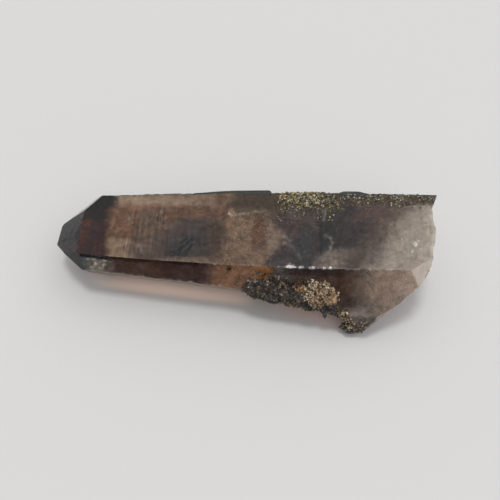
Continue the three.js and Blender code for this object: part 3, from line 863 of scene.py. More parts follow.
lay(lk, hz, smooth(24.5, 28.5, wx + 0.1 * d), (70, 50, 43), 0.08)
lay(lk, hz, smooth(29.5, 35.5, wx - 0.15 * (d - 4)), (82, 68, 60), 0.14)
lay(lk, hz, smooth(32.5, 41, wx - 0.1 * (d - 4)), (106, 88, 78), 0.26)
lay(lk, hz, smooth(42, 50, wx), (121, 103, 92), 0.42)
lay(lk, hz, band(30, 36.5, wx, 1.2) * smooth(11.5, 14.5, wd), (104, 90, 82), 0.2)
lay(lk, hz, smooth(15.2, 16.4, wd) * smooth(27, 30, wx), (80, 66, 60), 0.10)
dark = (1 - smooth(0.5, 1.6, wd)) * smooth(-56, -53, x)
lay(lk, hz, dark * (1 - smooth(-16, -12, wx)), (43, 31, 29), 0.02)
lay(lk, hz, (1 - smooth(1.5, 3.6, wd)) * band(12.5, 31, wx, 2), (61, 46, 42), 0.03)
lay(lk, hz, np.exp(-((x + 5.3) ** 2 + (d - 1.4) ** 2) / 0.5), (48, 30, 24), 0.03)
look[m], haze[m] = lk[m], hz[m]
scuff = np.where(m, 0.62 * band(-48.6, -43.2, x + 1.4 * wander2, 1.4) * band(1.2, 4.2, d, 0.6) * smooth(-0.05, 0.5, fbm(P, 0.75, 3, 320)), scuff)
speck = np.where(m, 0.18 + 0.17 * smooth(28, 40, wx), speck)
rough = np.where(m, 0.13 + 0.12 * smooth(28, 40, wx) + 0.08 * band(-52, -41, wx, 1), rough)
tint[m], haze[m] = surface(look[m] * mottle[m], haze[m], "front")

# --- faces of the point
for g, col, hz0 in ((6, (66, 61, 60), 0.03), (7, (55, 52, 48), 0.02), (8, (62, 56, 53), 0.05), (9, (84, 73, 65), 0.30),
                    (10, (88, 75, 66), 0.30), (11, (86, 74, 66), 0.30)):
    m = PG == g
    lk, hz = np.tile(np.array(col, float), (n, 1)), np.full(n, hz0)
    if g == 6:
        lay(lk, hz, (1 - smooth(-8, -2, wy)) * 0.8, (72, 61, 58), 0.05)
        lay(lk, hz, smooth(6, 9, wy) * 0.8, (58, 57, 56), 0.03)
        for x0, y0, x1, y1 in ((-55.5, -3.0, -52.8, 1.6), (-55.0, 1.0, -52.6, 4.2), (-54.2, -6.0, -53.0, -4.4)):
            t = np.clip(((x - x0) * (x1 - x0) + (y - y0) * (y1 - y0)) / ((x1 - x0) ** 2 + (y1 - y0) ** 2), 0, 1)
            lay(lk, hz, 0.6 * np.exp(-(np.hypot(x - x0 - t * (x1 - x0), y - y0 - t * (y1 - y0)) / 0.3) ** 2), (92, 88, 86), 0.2)
    if g in (9, 10, 11):
        lay(lk, hz, 0.8 * smooth(0.0, 0.6, fbm(P, 0.16, 3, 331)), (100, 86, 76), 0.25)
        lay(lk, hz, 0.7 * smooth(0.1, 0.5, fbm(P, 0.3, 3, 332)), (60, 54, 50), 0.10)
    look[m], haze[m] = lk[m], hz[m]
    rough[m] = 0.05
    speck[m] = 0.15
    lines[m] = 0.0
    tint[m], haze[m] = surface(look[m] * mottle[m], haze[m], "point" if g < 8 else "other")

# --- the other prism faces: zones run through the whole crystal
lk, hz = np.tile(np.array([72.0, 62.0, 56.0]), (n, 1)), np.full(n, 0.30)
lay(lk, hz, 1 - smooth(-53, -38, wx), (62, 55, 51), 0.15)
lay(lk, hz, 0.7 * band(-42, -28, wx + 3 * wander, 5), (86, 74, 66), 0.30)
lay(lk, hz, 0.7 * band(-8, 8, wx + 3 * wander, 5), (84, 72, 64), 0.30)
lay(lk, hz, smooth(22, 40, wx + 4 * wander), (100, 88, 80), 0.24)
lay(lk, hz, smooth(36, 54, wx + 4 * wander), (146, 136, 126), 0.5)
patch = smooth(0.05, 0.6, fbm(P * (0.6, 1, 1), 0.11, 4, 330))
lay(lk, hz, patch * 0.45, (108, 97, 88), 0.25)
m = np.isin(PG, (1, 2, 3, 4, 20))
look[m], haze[m] = lk[m], hz[m]
rough[m] = (0.13 + 0.1 * patch)[m]
speck[m] = 0.4
tint[m], haze[m] = surface(look[m] * mottle[m], haze[m], "other")
m = PG == 16
lay(lk, hz, 1 - smooth(0.2, 1.4, top_z(x) - z), (58, 54, 49), 0.3)
look[m], haze[m] = lk[m], hz[m]
rough[m], speck[m] = 0.16, 0.25
tint[m], haze[m] = surface(look[m] * mottle[m], haze[m], "other")
near_top = m & (top_z(x) - z < 0.3)
tint[near_top], haze[near_top], rough[near_top] = (0.030, 0.030, 0.026), 0.85, 0.4

# --- the slanting break, the torn root, the small crystal
to_break = (P @ BREAK_FACE[:3] - BREAK_FACE[3]) / np.linalg.norm(BREAK_FACE[:3])
# the thin edge between break and root is milky
ridge = np.where(PG == 13, np.exp(-(to_break / 2.0) ** 2), 0) + np.where(PG == 12, np.exp(-((root_x(y, z) - x) / 2.0) ** 2), 0)
m = PG == 12
lk, hz = np.tile(np.array([100.0, 85.0, 76.0]), (n, 1)), np.full(n, 0.20)
lay(lk, hz, smooth(4, 18, z + 3 * wander), (146, 134, 124), 0.5)
lay(lk, hz, smooth(0.05, 0.6, ridge), (124, 113, 104), 1.9)
look[m], haze[m] = lk[m], hz[m]
rough[m], speck[m], lines[m] = 0.14, 0.3, 0.0
tint[m], haze[m] = surface(look[m] * mottle[m], haze[m], "other")
m = PG == 13
lk, hz = np.tile(np.array([168.0, 159.0, 150.0]), (n, 1)), np.full(n, 0.3)
wob = 0.5 * fbm(P, 0.3, 3, 34)
facet = shell_index(y + wob, z - wob, ROOT_BOWLS)
glassy = np.random.default_rng(77).uniform(0, 1, len(ROOT_BOWLS) + 1)[facet]
lay(lk, hz, 0.8 * smooth(0.35, 1.0, glassy) * smooth(0.5, 3.0, top_z(x) - z), (142, 130, 119), 0.2)
lay(lk, hz, 0.6 * smooth(0.0, 0.7, fbm(P, 0.13, 3, 340)), (138, 128, 119), 0.3)
lay(lk, hz, 0.3 * np.exp(-(fbm(P, 0.22, 3, 341) / 0.04) ** 2), (118, 100, 82), 0.3)
lay(lk, hz, smooth(17, 20, y) * smooth(0.1, 0.4, wander2), (112, 104, 93), 0.3)
lay(lk, hz, smooth(0.05, 0.6, ridge), (156, 146, 137), 1.9)
look[m], haze[m] = lk[m], hz[m]
rough[m], speck[m], lines[m] = 0.09, 0.2, 0.0
tint[m], haze[m] = surface(look[m] * mottle[m], haze[m], "other")
m = np.isin(PG, (14, 15))
look[m], haze[m] = (52, 42, 36), 0.10
lk, hz = look.copy(), haze.copy()
lay(lk, hz, smooth(0.0, 0.5, fbm(P, 0.6, 3, 350)), (82, 70, 60), 0.4)
lay(lk, hz, smooth(-2.6, -0.2, to_break), (98, 84, 75), 0.3)
look[m], haze[m] = lk[m], hz[m]
rough[m], speck[m], lines[m] = 0.2, 0.8, 0.0
tint[m], haze[m] = surface(look[m] * mottle[m], haze[m], "other")

# chips: white where strongest; the cleaved corner at the root is cream
PCHIP1 = np.where(PCHIP > 1.5, 0, PCHIP)
scuff = np.maximum(scuff, smooth(0.4, 1.0, PCHIP1) + 0.30 * (PCHIP1 > 0.25))
scuff = np.where(np.isin(PG, (12, 13)) & (z < 19.0), 0.12 * scuff, scuff)
for mark, colour in ((2.0, (218, 203, 189)), (3.0, (224, 208, 196))):
    cc = np.abs(PCHIP - mark) < 0.4
    tint[cc] = srgb(colour)[None, :] * (0.62 + 0.38 * smooth(17.0, 20.5, z[cc]))[:, None]
    haze[cc] = 0.70
    rough[cc] = 0.16
    scuff[cc] = 0.0


def corner_colour(mesh, name, rgb, alpha):
    a = mesh.attributes.new(name, "FLOAT_COLOR", "CORNER")
    v = np.concatenate([rgb, alpha[:, None]], 1).astype(np.float32)
    a.data.foreach_set("color", v[inv].ravel())


corner_colour(me, "tint", np.clip(tint, 0, 1), np.clip(scuff, 0, 1))
corner_colour(me, "mask", np.clip(np.stack([haze, rough, speck], 1), 0, 1), np.clip(lines, 0, 1))
for name in ("chip", "group"):
    me.attributes.remove(me.attributes[name])


def shift_mesh(mesh):
    co = np.zeros(len(mesh.vertices) * 3)
    mesh.vertices.foreach_get("co", co)
    co = (co.reshape(-1, 3) + OFF) * MM
    mesh.vertices.foreach_set("co", co.ravel())
    mesh.update()


def shade(mesh, angle=27.0):
    mesh.polygons.foreach_set("use_smooth", np.ones(len(mesh.polygons), bool))
    mesh.set_sharp_from_angle(angle=math.radians(angle))


def piece(name, mesh, replaces=None):
    shift_mesh(mesh)
    ob = bpy.data.objects.new(name, mesh)
    bpy.context.scene.collection.objects.link(ob)
    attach(ob, "root")
    if replaces:
        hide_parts(replaces)
    return ob


# ------------------------------------------------------------------ materials
class Net:
    """Small helper for building node trees."""

    def __init__(self, name):
        self.m = bpy.data.materials.new(name)
        self.m.use_nodes = True
        self.t = self.m.node_tree
        self.bsdf = self.t.nodes["Principled BSDF"]
        self.out = self.t.nodes["Material Output"]
        self.pos = self.t.nodes.new("ShaderNodeTexCoord").outputs["Object"]

    def link(self, a, b):
        self.t.links.new(a, b)

    def put(self, socket, v):
        if isinstance(v, (int, float)):
            socket.default_value = v
        elif isinstance(v, (tuple, list)):
            socket.default_value = (*v, 1.0) if len(v) == 3 and socket.type == "RGBA" else v
        else:
            self.link(v, socket)

    def node(self, kind, **inputs):
        nd = self.t.nodes.new(kind)
        for k, v in inputs.items():
            self.put(nd.inputs[k], v)
        return nd

    def scaled(self, s):
        """Object coordinates in mm times s."""
        nd = self.t.nodes.new("ShaderNodeMapping")
        self.link(self.pos, nd.inputs["Vector"])
        s = (s, s, s) if isinstance(s, (int, float)) else s
        nd.inputs["Scale"].default_value = [1000.0 * q for q in s]
        return nd.outputs["Vector"]

    def noise(self, s, detail=3.0, rough=0.55, distortion=0.0):
        nd = self.t.nodes.new("ShaderNodeTexNoise")
        self.link(self.scaled(s), nd.inputs["Vector"])
        nd.inputs["Scale"].default_value = 1.0
        nd.inputs["Detail"].default_value = detail
        nd.inputs["Roughness"].default_value = rough
        nd.inputs["Distortion"].default_value = distortion
        return nd.outputs[0]

    def voronoi(self, s, out="Distance", feature="F1", randomness=1.0):
        nd = self.t.nodes.new("ShaderNodeTexVoronoi")
        nd.feature = feature
        self.link(self.scaled(s), nd.inputs["Vector"])
        nd.inputs["Scale"].default_value = 1.0
        nd.inputs["Randomness"].default_value = randomness
        return nd.outputs[out]

    def math(self, op, a, b=0.0, c=0.0, clamp=False):
        nd = self.t.nodes.new("ShaderNodeMath")
        nd.operation = op
        nd.use_clamp = clamp
        for k, v in enumerate((a, b, c)):
            self.put(nd.inputs[k], v)
        return nd.outputs[0]

    def ramp(self, v, a, b, lo=0.0, hi=1.0):
        nd = self.t.nodes.new("ShaderNodeMapRange")
        nd.interpolation_type = "SMOOTHSTEP"
        self.put(nd.inputs["Value"], v)
        nd.inputs["From Min"].default_value = a
        nd.inputs["From Max"].default_value = b
        nd.inputs["To Min"].default_value = lo
        nd.inputs["To Max"].default_value = hi
        return nd.outputs["Result"]

    def mix(self, f, a, b, blend="MIX"):
        nd = self.t.nodes.new("ShaderNodeMix")
        nd.data_type = "RGBA"
        nd.blend_type = blend
        self.put(nd.inputs[0], f)
        self.put(nd.inputs[6], a)
        self.put(nd.inputs[7], b)
        return nd.outputs[2]

    def attr(self, name):
        nd = self.t.nodes.new("ShaderNodeAttribute")
        nd.attribute_name = name
        return nd

    def separate(self, c):
        nd = self.t.nodes.new("ShaderNodeSeparateColor")
        self.link(c, nd.inputs[0])
        return nd.outputs

    def bump(self, height, distance, strength=1.0, normal=None):
        nd = self.t.nodes.new("ShaderNodeBump")
        nd.inputs["Strength"].default_value = strength
        nd.inputs["Distance"].default_value = distance
        self.link(height, nd.inputs["Height"])
        if normal is not None:
            self.link(normal, nd.inputs["Normal"])
        return nd.outputs["Normal"]


def quartz_material():
    k = Net("smoky_quartz")
    tint_a, mask_a = k.attr("tint"), k.attr("mask")
    hz, rg, sp = k.separate(mask_a.outputs["Color"])[:3]
    sc = tint_a.outputs["Alpha"]
    # growth striations: fine lines that run across the prism
    stri = k.noise((2.1, 0.07, 0.07), 3, 0.65)
    stri_mask = k.math("MULTIPLY", mask_a.outputs["Alpha"], k.ramp(k.noise((0.12, 0.16, 0.16), 2), 0.3, 0.6, 0.35, 1.0))
    cloud = k.noise(0.55, 5, 0.6, 0.4)
    grain = k.noise(2.3, 4, 0.65)
    fine = k.noise(5.5, 2, 0.6)
    dots = k.ramp(k.voronoi(1.7), 0.16, 0.34, 1.0, 0.0)
    # base colour: the tint, mottled
    calm = k.ramp(hz, 0.10, 0.32, 1.0, 0.25)
    v = k.math("MULTIPLY_ADD", k.math("MULTIPLY", k.math("SUBTRACT", cloud, 0.5), calm), 1.2, 1.0)
    v = k.math("MULTIPLY_ADD", k.math("MULTIPLY", k.math("SUBTRACT", stri, 0.5), stri_mask), 3.0, v)
    g = k.math("MULTIPLY", k.math("MULTIPLY", k.math("SUBTRACT", grain, 0.5), calm), k.math("MULTIPLY_ADD", sp, 2.6, 0.35))
    v = k.math("MAXIMUM", k.math("ADD", v, g), 0.25)
    base = k.mix(1.0, tint_a.outputs["Color"], (1, 1, 1), "MULTIPLY")
    nd = k.t.nodes.new("ShaderNodeVectorMath")
    nd.operation = "SCALE"
    k.link(base, nd.inputs[0])
    k.link(v, nd.inputs[3])
    base = nd.outputs[0]
    # tiny pale crumbs and scuffs
    crumbs = k.math("MULTIPLY", k.math("MULTIPLY", dots, sp), k.ramp(fine, 0.5, 0.62))
    broken = k.math("ADD", k.ramp(grain, 0.36, 0.6), k.ramp(sc, 0.55, 0.95), clamp=True)
    white = k.math("MULTIPLY", sc, broken, clamp=True)
    pale = k.math("MAXIMUM", k.math("MULTIPLY", crumbs, 0.55), white)
    base = k.mix(pale, base, (0.78, 0.75, 0.70))
    k.link(base, k.bsdf.inputs["Base Color"])
    hz2 = k.math("MULTIPLY", hz, k.math("MULTIPLY_ADD", k.math("MULTIPLY", k.math("SUBTRACT", cloud, 0.5), calm), 1.8, 1.0))
    scatter = k.math("ADD", hz2, k.math("MULTIPLY", pale, 0.9), clamp=True)
    k.link(k.math("SUBTRACT", 1.0, scatter, clamp=True), k.bsdf.inputs["Transmission Weight"])
    r = k.math("ADD", rg, k.math("MULTIPLY", k.math("SUBTRACT", grain, 0.5), 0.12))
    r = k.math("MAXIMUM", k.math("MULTIPLY_ADD", pale, 0.5, r), 0.03)
    k.link(r, k.bsdf.inputs["Roughness"])
    k.bsdf.inputs["IOR"].default_value = 1.544
    n1 = k.bump(k.math("MULTIPLY", stri, k.ramp(stri_mask, 0, 1, 0.15, 1.0)), 0.00003, 0.9)
    n2 = k.bump(k.math("MULTIPLY", grain, k.ramp(rg, 0.12, 0.4, 0.25, 1.0)), 0.00005, 0.8, n1)
    k.link(n2, k.bsdf.inputs["Normal"])
    vol = k.t.nodes.new("ShaderNodeVolumeAbsorption")
    vol.inputs["Color"].default_value = (0.62, 0.45, 0.22, 1)
    vol.inputs["Density"].default_value = 115.0
    k.link(vol.outputs["Volume"], k.out.inputs["Volume"])
    return k.m


shade(me)
broken = me.attributes.new("broken", "BOOLEAN", "FACE")
broken.data.foreach_set("value", np.isin(group, (12, 13)))
bm = bmesh.new()
bm.from_mesh(me)
lay_b = bm.faces.layers.bool.get("broken")
for e_ in bm.edges:
    if len(e_.link_faces) == 2 and e_.link_faces[0][lay_b] and e_.link_faces[1][lay_b] and e_.calc_face_angle(0.0) > math.radians(13):
        e_.smooth = False
bm.to_mesh(me)
bm.free()
me.attributes.remove(me.attributes["broken"])
me.materials.clear()
me.materials.append(quartz_material())
me.polygons.foreach_set("material_index", np.zeros(len(me.polygons), np.int32))
crystal = piece("quartz_crystal_surface", me, "quartz_crystal")
tris = sum(len(p.vertices) - 2 for p in me.polygons)
print("crystal triangles", tris)


# ------------------------------------------------------------------ crust grains
LUMPS = {
    "mica": [((12.2, 12.7, 21.65), (3.6, 2.3, 1.2)), ((17.0, 12.3, 21.95), (4.2, 2.9, 1.35)), ((22.4, 12.7, 22.25), (4.0, 2.5, 1.3))],
    "tan": [((22.0, -18.05, 14.75), (5.6, 5.4, 1.6))],
    "dark": [((3.9, -17.6, 14.2), (4.4, 3.4, 1.5)), ((9.0, -18.2, 13.9), (5.2, 3.8, 1.6)), ((14.6, -18.7, 13.2), (5.2, 3.7, 1.6)),
             ((20.6, -19.9, 11.7), (4.8, 2.3, 1.8)), ((25.6, -20.4, 11.3), (3.5, 1.9, 1.7))],
}
LEAN = {"mica": 0.0, "tan": 60.0, "dark": 61.0}
SPIKES = [((24.0, -20.3, 11.3), (24.4, -22.4, 7.7), 1.25), ((26.9, -20.5, 11.2), (27.4, -21.9, 9.0), 0.95)]


def lean_matrix(deg):
    a = math.radians(deg)
    c, s = math.cos(a), math.sin(a)
    return np.array([[1, 0, 0], [0, c, -s], [0, s, c]])


def lump_body(centre, radii, lean, seed, low=-0.35):
    """A low mound with a crumbly top, as (verts, faces)."""
    bm = bmesh.new()
    bmesh.ops.create_icosphere(bm, subdivisions=4, radius=1.0)
    v = np.array([q.co[:] for q in bm.verts])
    faces = [tuple(q.index for q in f.verts) for f in bm.faces]
    bm.free()
    r = lean_matrix(lean)
    ripple = 1 + 0.16 * fbm(v + seed, 1.9, 3, seed)
    w = v * ripple[:, None] * np.array(radii) * 0.93
    w[:, 2] = np.where(v[:, 2] < 0, w[:, 2] * 0.0 + low * (1 - v[:, 2]) * 0.5, w[:, 2])
    w = w @ r.T + np.array(centre)
    return w, faces


def merge(parts):
    vs, fs, cs, off = [], [], [], 0
    for v, f, c in parts:
        vs.append(v)
        fs += [tuple(i + off for i in q) for q in f]
        cs.append(c)
        off += len(v)
    return np.concatenate(vs, 0), fs, np.concatenate(cs, 0)


def hexagon_prism(taper=1.0):
    a = np.radians(np.arange(6) * 60)
    lo = np.stack([np.cos(a), np.sin(a), 0 * a - 1], 1)
    hi = np.stack([np.cos(a) * taper, np.sin(a) * taper, 0 * a + 1], 1)
    faces = [(5, 4, 3, 2, 1, 0), (6, 7, 8, 9, 10, 11)] + [(k, (k + 1) % 6, 6 + (k + 1) % 6, 6 + k) for k in range(6)]
    return np.concatenate([lo, hi]), faces


CUBE = (np.array([[-1, -1, -1], [1, -1, -1], [1, 1, -1], [-1, 1, -1], [-1, -1, 1], [1, -1, 1], [1, 1, 1], [-1, 1, 1]], float),
        [(3, 2, 1, 0), (4, 5, 6, 7), (0, 1, 5, 4), (1, 2, 6, 5), (2, 3, 7, 6), (3, 0, 4, 7)])
FLAKE = hexagon_prism(0.9)
NEEDLE = hexagon_prism(0.35)


def grains(shape, centres, normals, sizes, tilts, colours, rng, jitter=0.18):
    """Many small closed solids: at each centre, standing along its normal leaned by its tilt."""
    sv, sf = shape
    k, nvs = len(centres), len(sv)
    if k == 0:
        return np.zeros((0, 3)), [], np.zeros((0, 3))
    nrm = normals / np.linalg.norm(normals, axis=1)[:, None]
    t = rng.normal(size=(k, 3))
    t -= (t * nrm).sum(1)[:, None] * nrm
    t /= np.linalg.norm(t, axis=1)[:, None]
    b = np.cross(nrm, t)
    a = tilts
    n2 = nrm * np.cos(a)[:, None] + b * np.sin(a)[:, None]
    b2 = np.cross(n2, t)
    spin = rng.uniform(0, 2 * math.pi, k)
    t3 = t * np.cos(spin)[:, None] + b2 * np.sin(spin)[:, None]
    b3 = np.cross(n2, t3)
    local = sv[None] * (1 + jitter * rng.uniform(-1, 1, (k, nvs, 1))) + 0.5 * jitter * rng.uniform(-1, 1, (k, nvs, 3))
    local = local * sizes[:, None, :]
    v = (centres[:, None] + local[..., :1] * t3[:, None] + local[..., 1:2] * b3[:, None] + local[..., 2:] * n2[:, None])
    faces = [tuple(i * nvs + q for q in f) for i in range(k) for f in sf]
    return v.reshape(-1, 3), faces, np.repeat(colours, nvs, 0)


def tree_of(parts):
    vs, fs, _ = merge([(p[0], p[1], np.zeros((len(p[0]), 3))) for p in parts])
    return BVHTree.FromPolygons([Vector(q) for q in vs], fs)


def seat(trees, points, axis):
    """Drops each point against the axis onto the first surface it meets; returns places, normals and which were met."""
    hit, nrm, ok = [], [], []
    axis = np.asarray(axis, float)
    for p in points:
        best = None
        for tr in trees:
            loc, no, _, dist = tr.ray_cast(Vector(p + axis * 8), Vector(-axis), 16)
            if loc is not None and (best is None or dist < best[2]):
                best = (loc, no, dist)
        if best is None:
            hit.append(p)
            nrm.append(axis)
            ok.append(False)
        else:
            no = best[1] if best[1].dot(Vector(axis)) > 0 else -best[1]
            hit.append(best[0][:])
            nrm.append(no[:])
            ok.append(True)
    return np.array(hit), np.array(nrm), np.array(ok)


def scatter(lump_list, lean, count, rng, reach=1.05, edge=0.0):
    """Points over the mounds, thinning out past their rims when edge is given."""
    r = lean_matrix(lean)
    area = np.array([q[1][0] * q[1][1] for q in lump_list])
    pick = rng.choice(len(lump_list), count, p=area / area.sum())
    ang = rng.uniform(0, 2 * math.pi, count)
    rad = np.sqrt(rng.uniform(0, 1, count)) * reach + edge * rng.exponential(1.0, count)
    c = np.array([lump_list[i][0] for i in pick])
    s = np.array([lump_list[i][1] for i in pick])
    q = np.stack([np.cos(ang) * rad * s[:, 0], np.sin(ang) * rad * s[:, 1], 0 * ang], 1)
    return c + q @ r.T, rad


def crust_mesh(name, parts):
    v, f, c = merge(parts)
    mesh = bpy.data.meshes.new(name)
    mesh.from_pydata([tuple(q) for q in v], [], f)
    a = mesh.attributes.new("grain", "FLOAT_COLOR", "POINT")
    a.data.foreach_set("color", np.concatenate([c, np.ones((len(c), 1))], 1).astype(np.float32).ravel())
    return mesh


def palette(rng, colours, weights, count, spread_=0.25):
    c = np.array(colours, float)[rng.choice(len(colours), count, p=np.array(weights) / sum(weights))]
    return np.clip(c * np.exp(spread_ * rng.normal(size=(count, 1))), 0.002, 0.95)


def crust_material(name, roughness, metallic=0.0, specular=0.5):
    k = Net(name)
    col = k.attr("grain").outputs["Color"]
    v = k.ramp(k.noise(3.0, 4, 0.6), 0.25, 0.75, 0.6, 1.35)
    nd = k.t.nodes.new("ShaderNodeVectorMath")
    nd.operation = "SCALE"
    k.link(col, nd.inputs[0])
    k.link(v, nd.inputs[3])
    k.link(nd.outputs[0], k.bsdf.inputs["Base Color"])
    k.link(k.ramp(k.noise(2.0, 3, 0.6), 0.3, 0.7, roughness * 0.6, min(1, roughness * 1.5)), k.bsdf.inputs["Roughness"])
    k.bsdf.inputs["Metallic"].default_value = metallic
    k.bsdf.inputs["Specular IOR Level"].default_value = specular
    k.link(k.bump(k.noise(9.0, 3, 0.6), 0.00004, 0.6), k.bsdf.inputs["Normal"])
    return k.m


FEW = 1.0


def num(v):
    return max(4, int(v * FEW))


def build_mica():
    rng = np.random.default_rng(21)
    parts = []
    for i, (c, s) in enumerate(LUMPS["mica"]):
        v, f = lump_body(c, (s[0] * 0.9, s[1] * 0.8, s[2] * 0.5), 0.0, 500 + i)
        parts.append((v, f, np.tile(np.array([[0.055, 0.05, 0.03]]), (len(v), 1))))
    trees = [solid, tree_of(parts)]
    axis = np.array([0, 0.12, 1.0])
    axis /= np.linalg.norm(axis)
    pts, rad = scatter(LUMPS["mica"], 0.0, num(2300), rng, 0.98, 0.09)
    pts[:, 1] = np.minimum(pts[:, 1], 15.2)
    gaps = fbm(pts, (0.55, 0.8, 0.8), 3, 570) - 0.35 * smooth(19.5, 23, pts[:, 0]) - 0.25 * np.abs(pts[:, 1] - 12.8) / 3.0
    pts = pts[(gaps > -0.10) | (rng.uniform(0, 1, len(pts)) < 0.14)]
    h, nm, ok = seat(trees, pts, axis)
    h, nm = h[ok], nm[ok]
    k = len(h)
    r = rng.uniform(0.22, 0.55, k) * rng.uniform(0.6, 1.0, k)
    sizes = np.stack([r, r * rng.uniform(0.7, 1.0, k), rng.uniform(0.05, 0.14, k)], 1)
    tilt = np.abs(rng.normal(0, 0.30, k))
    cols = palette(rng, [(0.34, 0.275, 0.142), (0.145, 0.125, 0.072), (0.56, 0.49, 0.35), (0.045, 0.042, 0.032), (0.33, 0.23, 0.135)],
                   [5, 4, 1.6, 5, 2.2], k)
    cols = cols * (1 - 0.55 * smooth(19.5, 23, h[:, 0]))[:, None]
    parts.append(grains(FLAKE, h + nm * (0.06 + 0.20 * rng.uniform(0, 1, k))[:, None], nm, sizes, tilt, cols, rng, 0.12))
    # crumbs that thin out over the face in front
    cnt = num(420)
    q = np.stack([rng.uniform(8, 27, cnt), 11.6 - rng.exponential(2.2, cnt), np.full(cnt, 22.0)], 1)
    h, nm, ok = seat([solid], q, (0, 0, 1))
    k = len(h)
    r = rng.uniform(0.07, 0.2, k)
    cols = palette(rng, [(0.36, 0.29, 0.13), (0.06, 0.055, 0.04), (0.5, 0.45, 0.34)], [3, 4, 2], k)
    parts.append(grains(CUBE, h + nm * 0.05, nm, np.stack([r, r * 0.8, r * 0.5], 1), np.abs(rng.normal(0, 0.5, k)), cols, rng, 0.3))
    return crust_mesh("mica_crust_fine", parts)


def build_tan():
    rng = np.random.default_rng(31)
    parts = []
    c, s = LUMPS["tan"][0]
    r3 = lean_matrix(60.0)
    c = tuple(np.array(c) + np.array([0.1, -0.40, -0.69]))
    s = (5.0, 4.9, 1.5)
    v, f = lump_body(c, (s[0] * 0.94, s[1] * 0.94, s[2] * 0.62), 60.0, 520)
    parts.append((v, f, np.tile(np.array([[0.10, 0.065, 0.035]]), (len(v), 1))))
    trees = [solid, tree_of(parts)]
    axis = r3 @ np.array([0, 0, 1.0])
    cnt = num(3300)
    ang = rng.uniform(0, 2 * math.pi, cnt)
    rad = np.sqrt(rng.uniform(0, 1, cnt)) * 1.02 + 0.05 * rng.exponential(1, cnt)
    loc = np.stack([np.cos(ang) * rad * s[0], np.sin(ang) * rad * s[1], 0 * ang], 1)
    hole = (fbm(loc, 0.6, 3, 530) > 0.06) | (np.hypot(loc[:, 0] - 0.4, loc[:, 1] + 0.2) < 0.9)
    keep = ~hole | (rng.uniform(0, 1, cnt) < 0.18)
    loc, rad, ang = loc[keep], rad[keep], ang[keep]
    pts = np.array(c) + loc @ r3.T
    h, nm, ok = seat(trees, pts, axis)
    k = len(h)
    sz = rng.uniform(0.10, 0.27, k)
    sizes = np.stack([sz, sz * rng.uniform(0.5, 0.9, k), sz * rng.uniform(0.6, 1.6, k)], 1)
    cols = palette(rng, [(0.37, 0.255, 0.155), (0.46, 0.35, 0.235), (0.22, 0.14, 0.08), (0.055, 0.038, 0.025), (0.42, 0.26, 0.12)],
                   [5, 2.0, 4.0, 4.0, 0.9], k, 0.2)
    cream = smooth(-0.2, 0.7, np.cos(ang - math.radians(125))) * smooth(0.25, 0.6, rad)
    swap = rng.uniform(0, 1, k) < 0.26 * cream
    cols[swap] = palette(rng, [(0.68, 0.61, 0.49)], [1], int(swap.sum()), 0.15)
    sizes[swap] *= (0.6, 0.6, 2.0)
    # painted light: grains on one side of the rim are made brighter, as if lit from there
    painted_rim_light = smooth(0.72, 0.95, rad[: k]) * smooth(-0.2, 0.6, np.cos(ang - math.radians(-40)))
    cols = cols * (1 + 0.35 * painted_rim_light)[:, None]
    lift = 0.06 + 0.35 * rng.uniform(0, 1, k) * smooth(-0.5, 0.6, noise(loc, 0.8, 531))
    parts.append(grains(CUBE, h + nm * lift[:, None], nm, sizes, np.abs(rng.normal(0, 0.8, k)), np.clip(cols, 0, 0.9), rng, 0.28))
    # a knot of orange-brown grains at its left
    cnt = num(80)
    q = np.array([16.9, -17.3, 16.0]) + np.stack([rng.normal(0, 0.8, cnt), rng.normal(0, 0.4, cnt), rng.normal(0, 0.7, cnt)], 1)
    h, nm, ok = seat(trees, q, axis)
    k = len(h)
    sz = rng.uniform(0.12, 0.33, k)
    cols = palette(rng, [(0.34, 0.20, 0.09), (0.50, 0.38, 0.25), (0.16, 0.09, 0.045)], [4, 2, 3], k)
    parts.append(grains(CUBE, h + nm * (0.1 + 0.5 * rng.uniform(0, 1, k))[:, None], nm, np.stack([sz, sz * 0.8, sz * 0.7], 1),
                        np.abs(rng.normal(0, 0.8, k)), cols, rng, 0.28))
    return crust_mesh("tan_grain_crust_fine", parts)


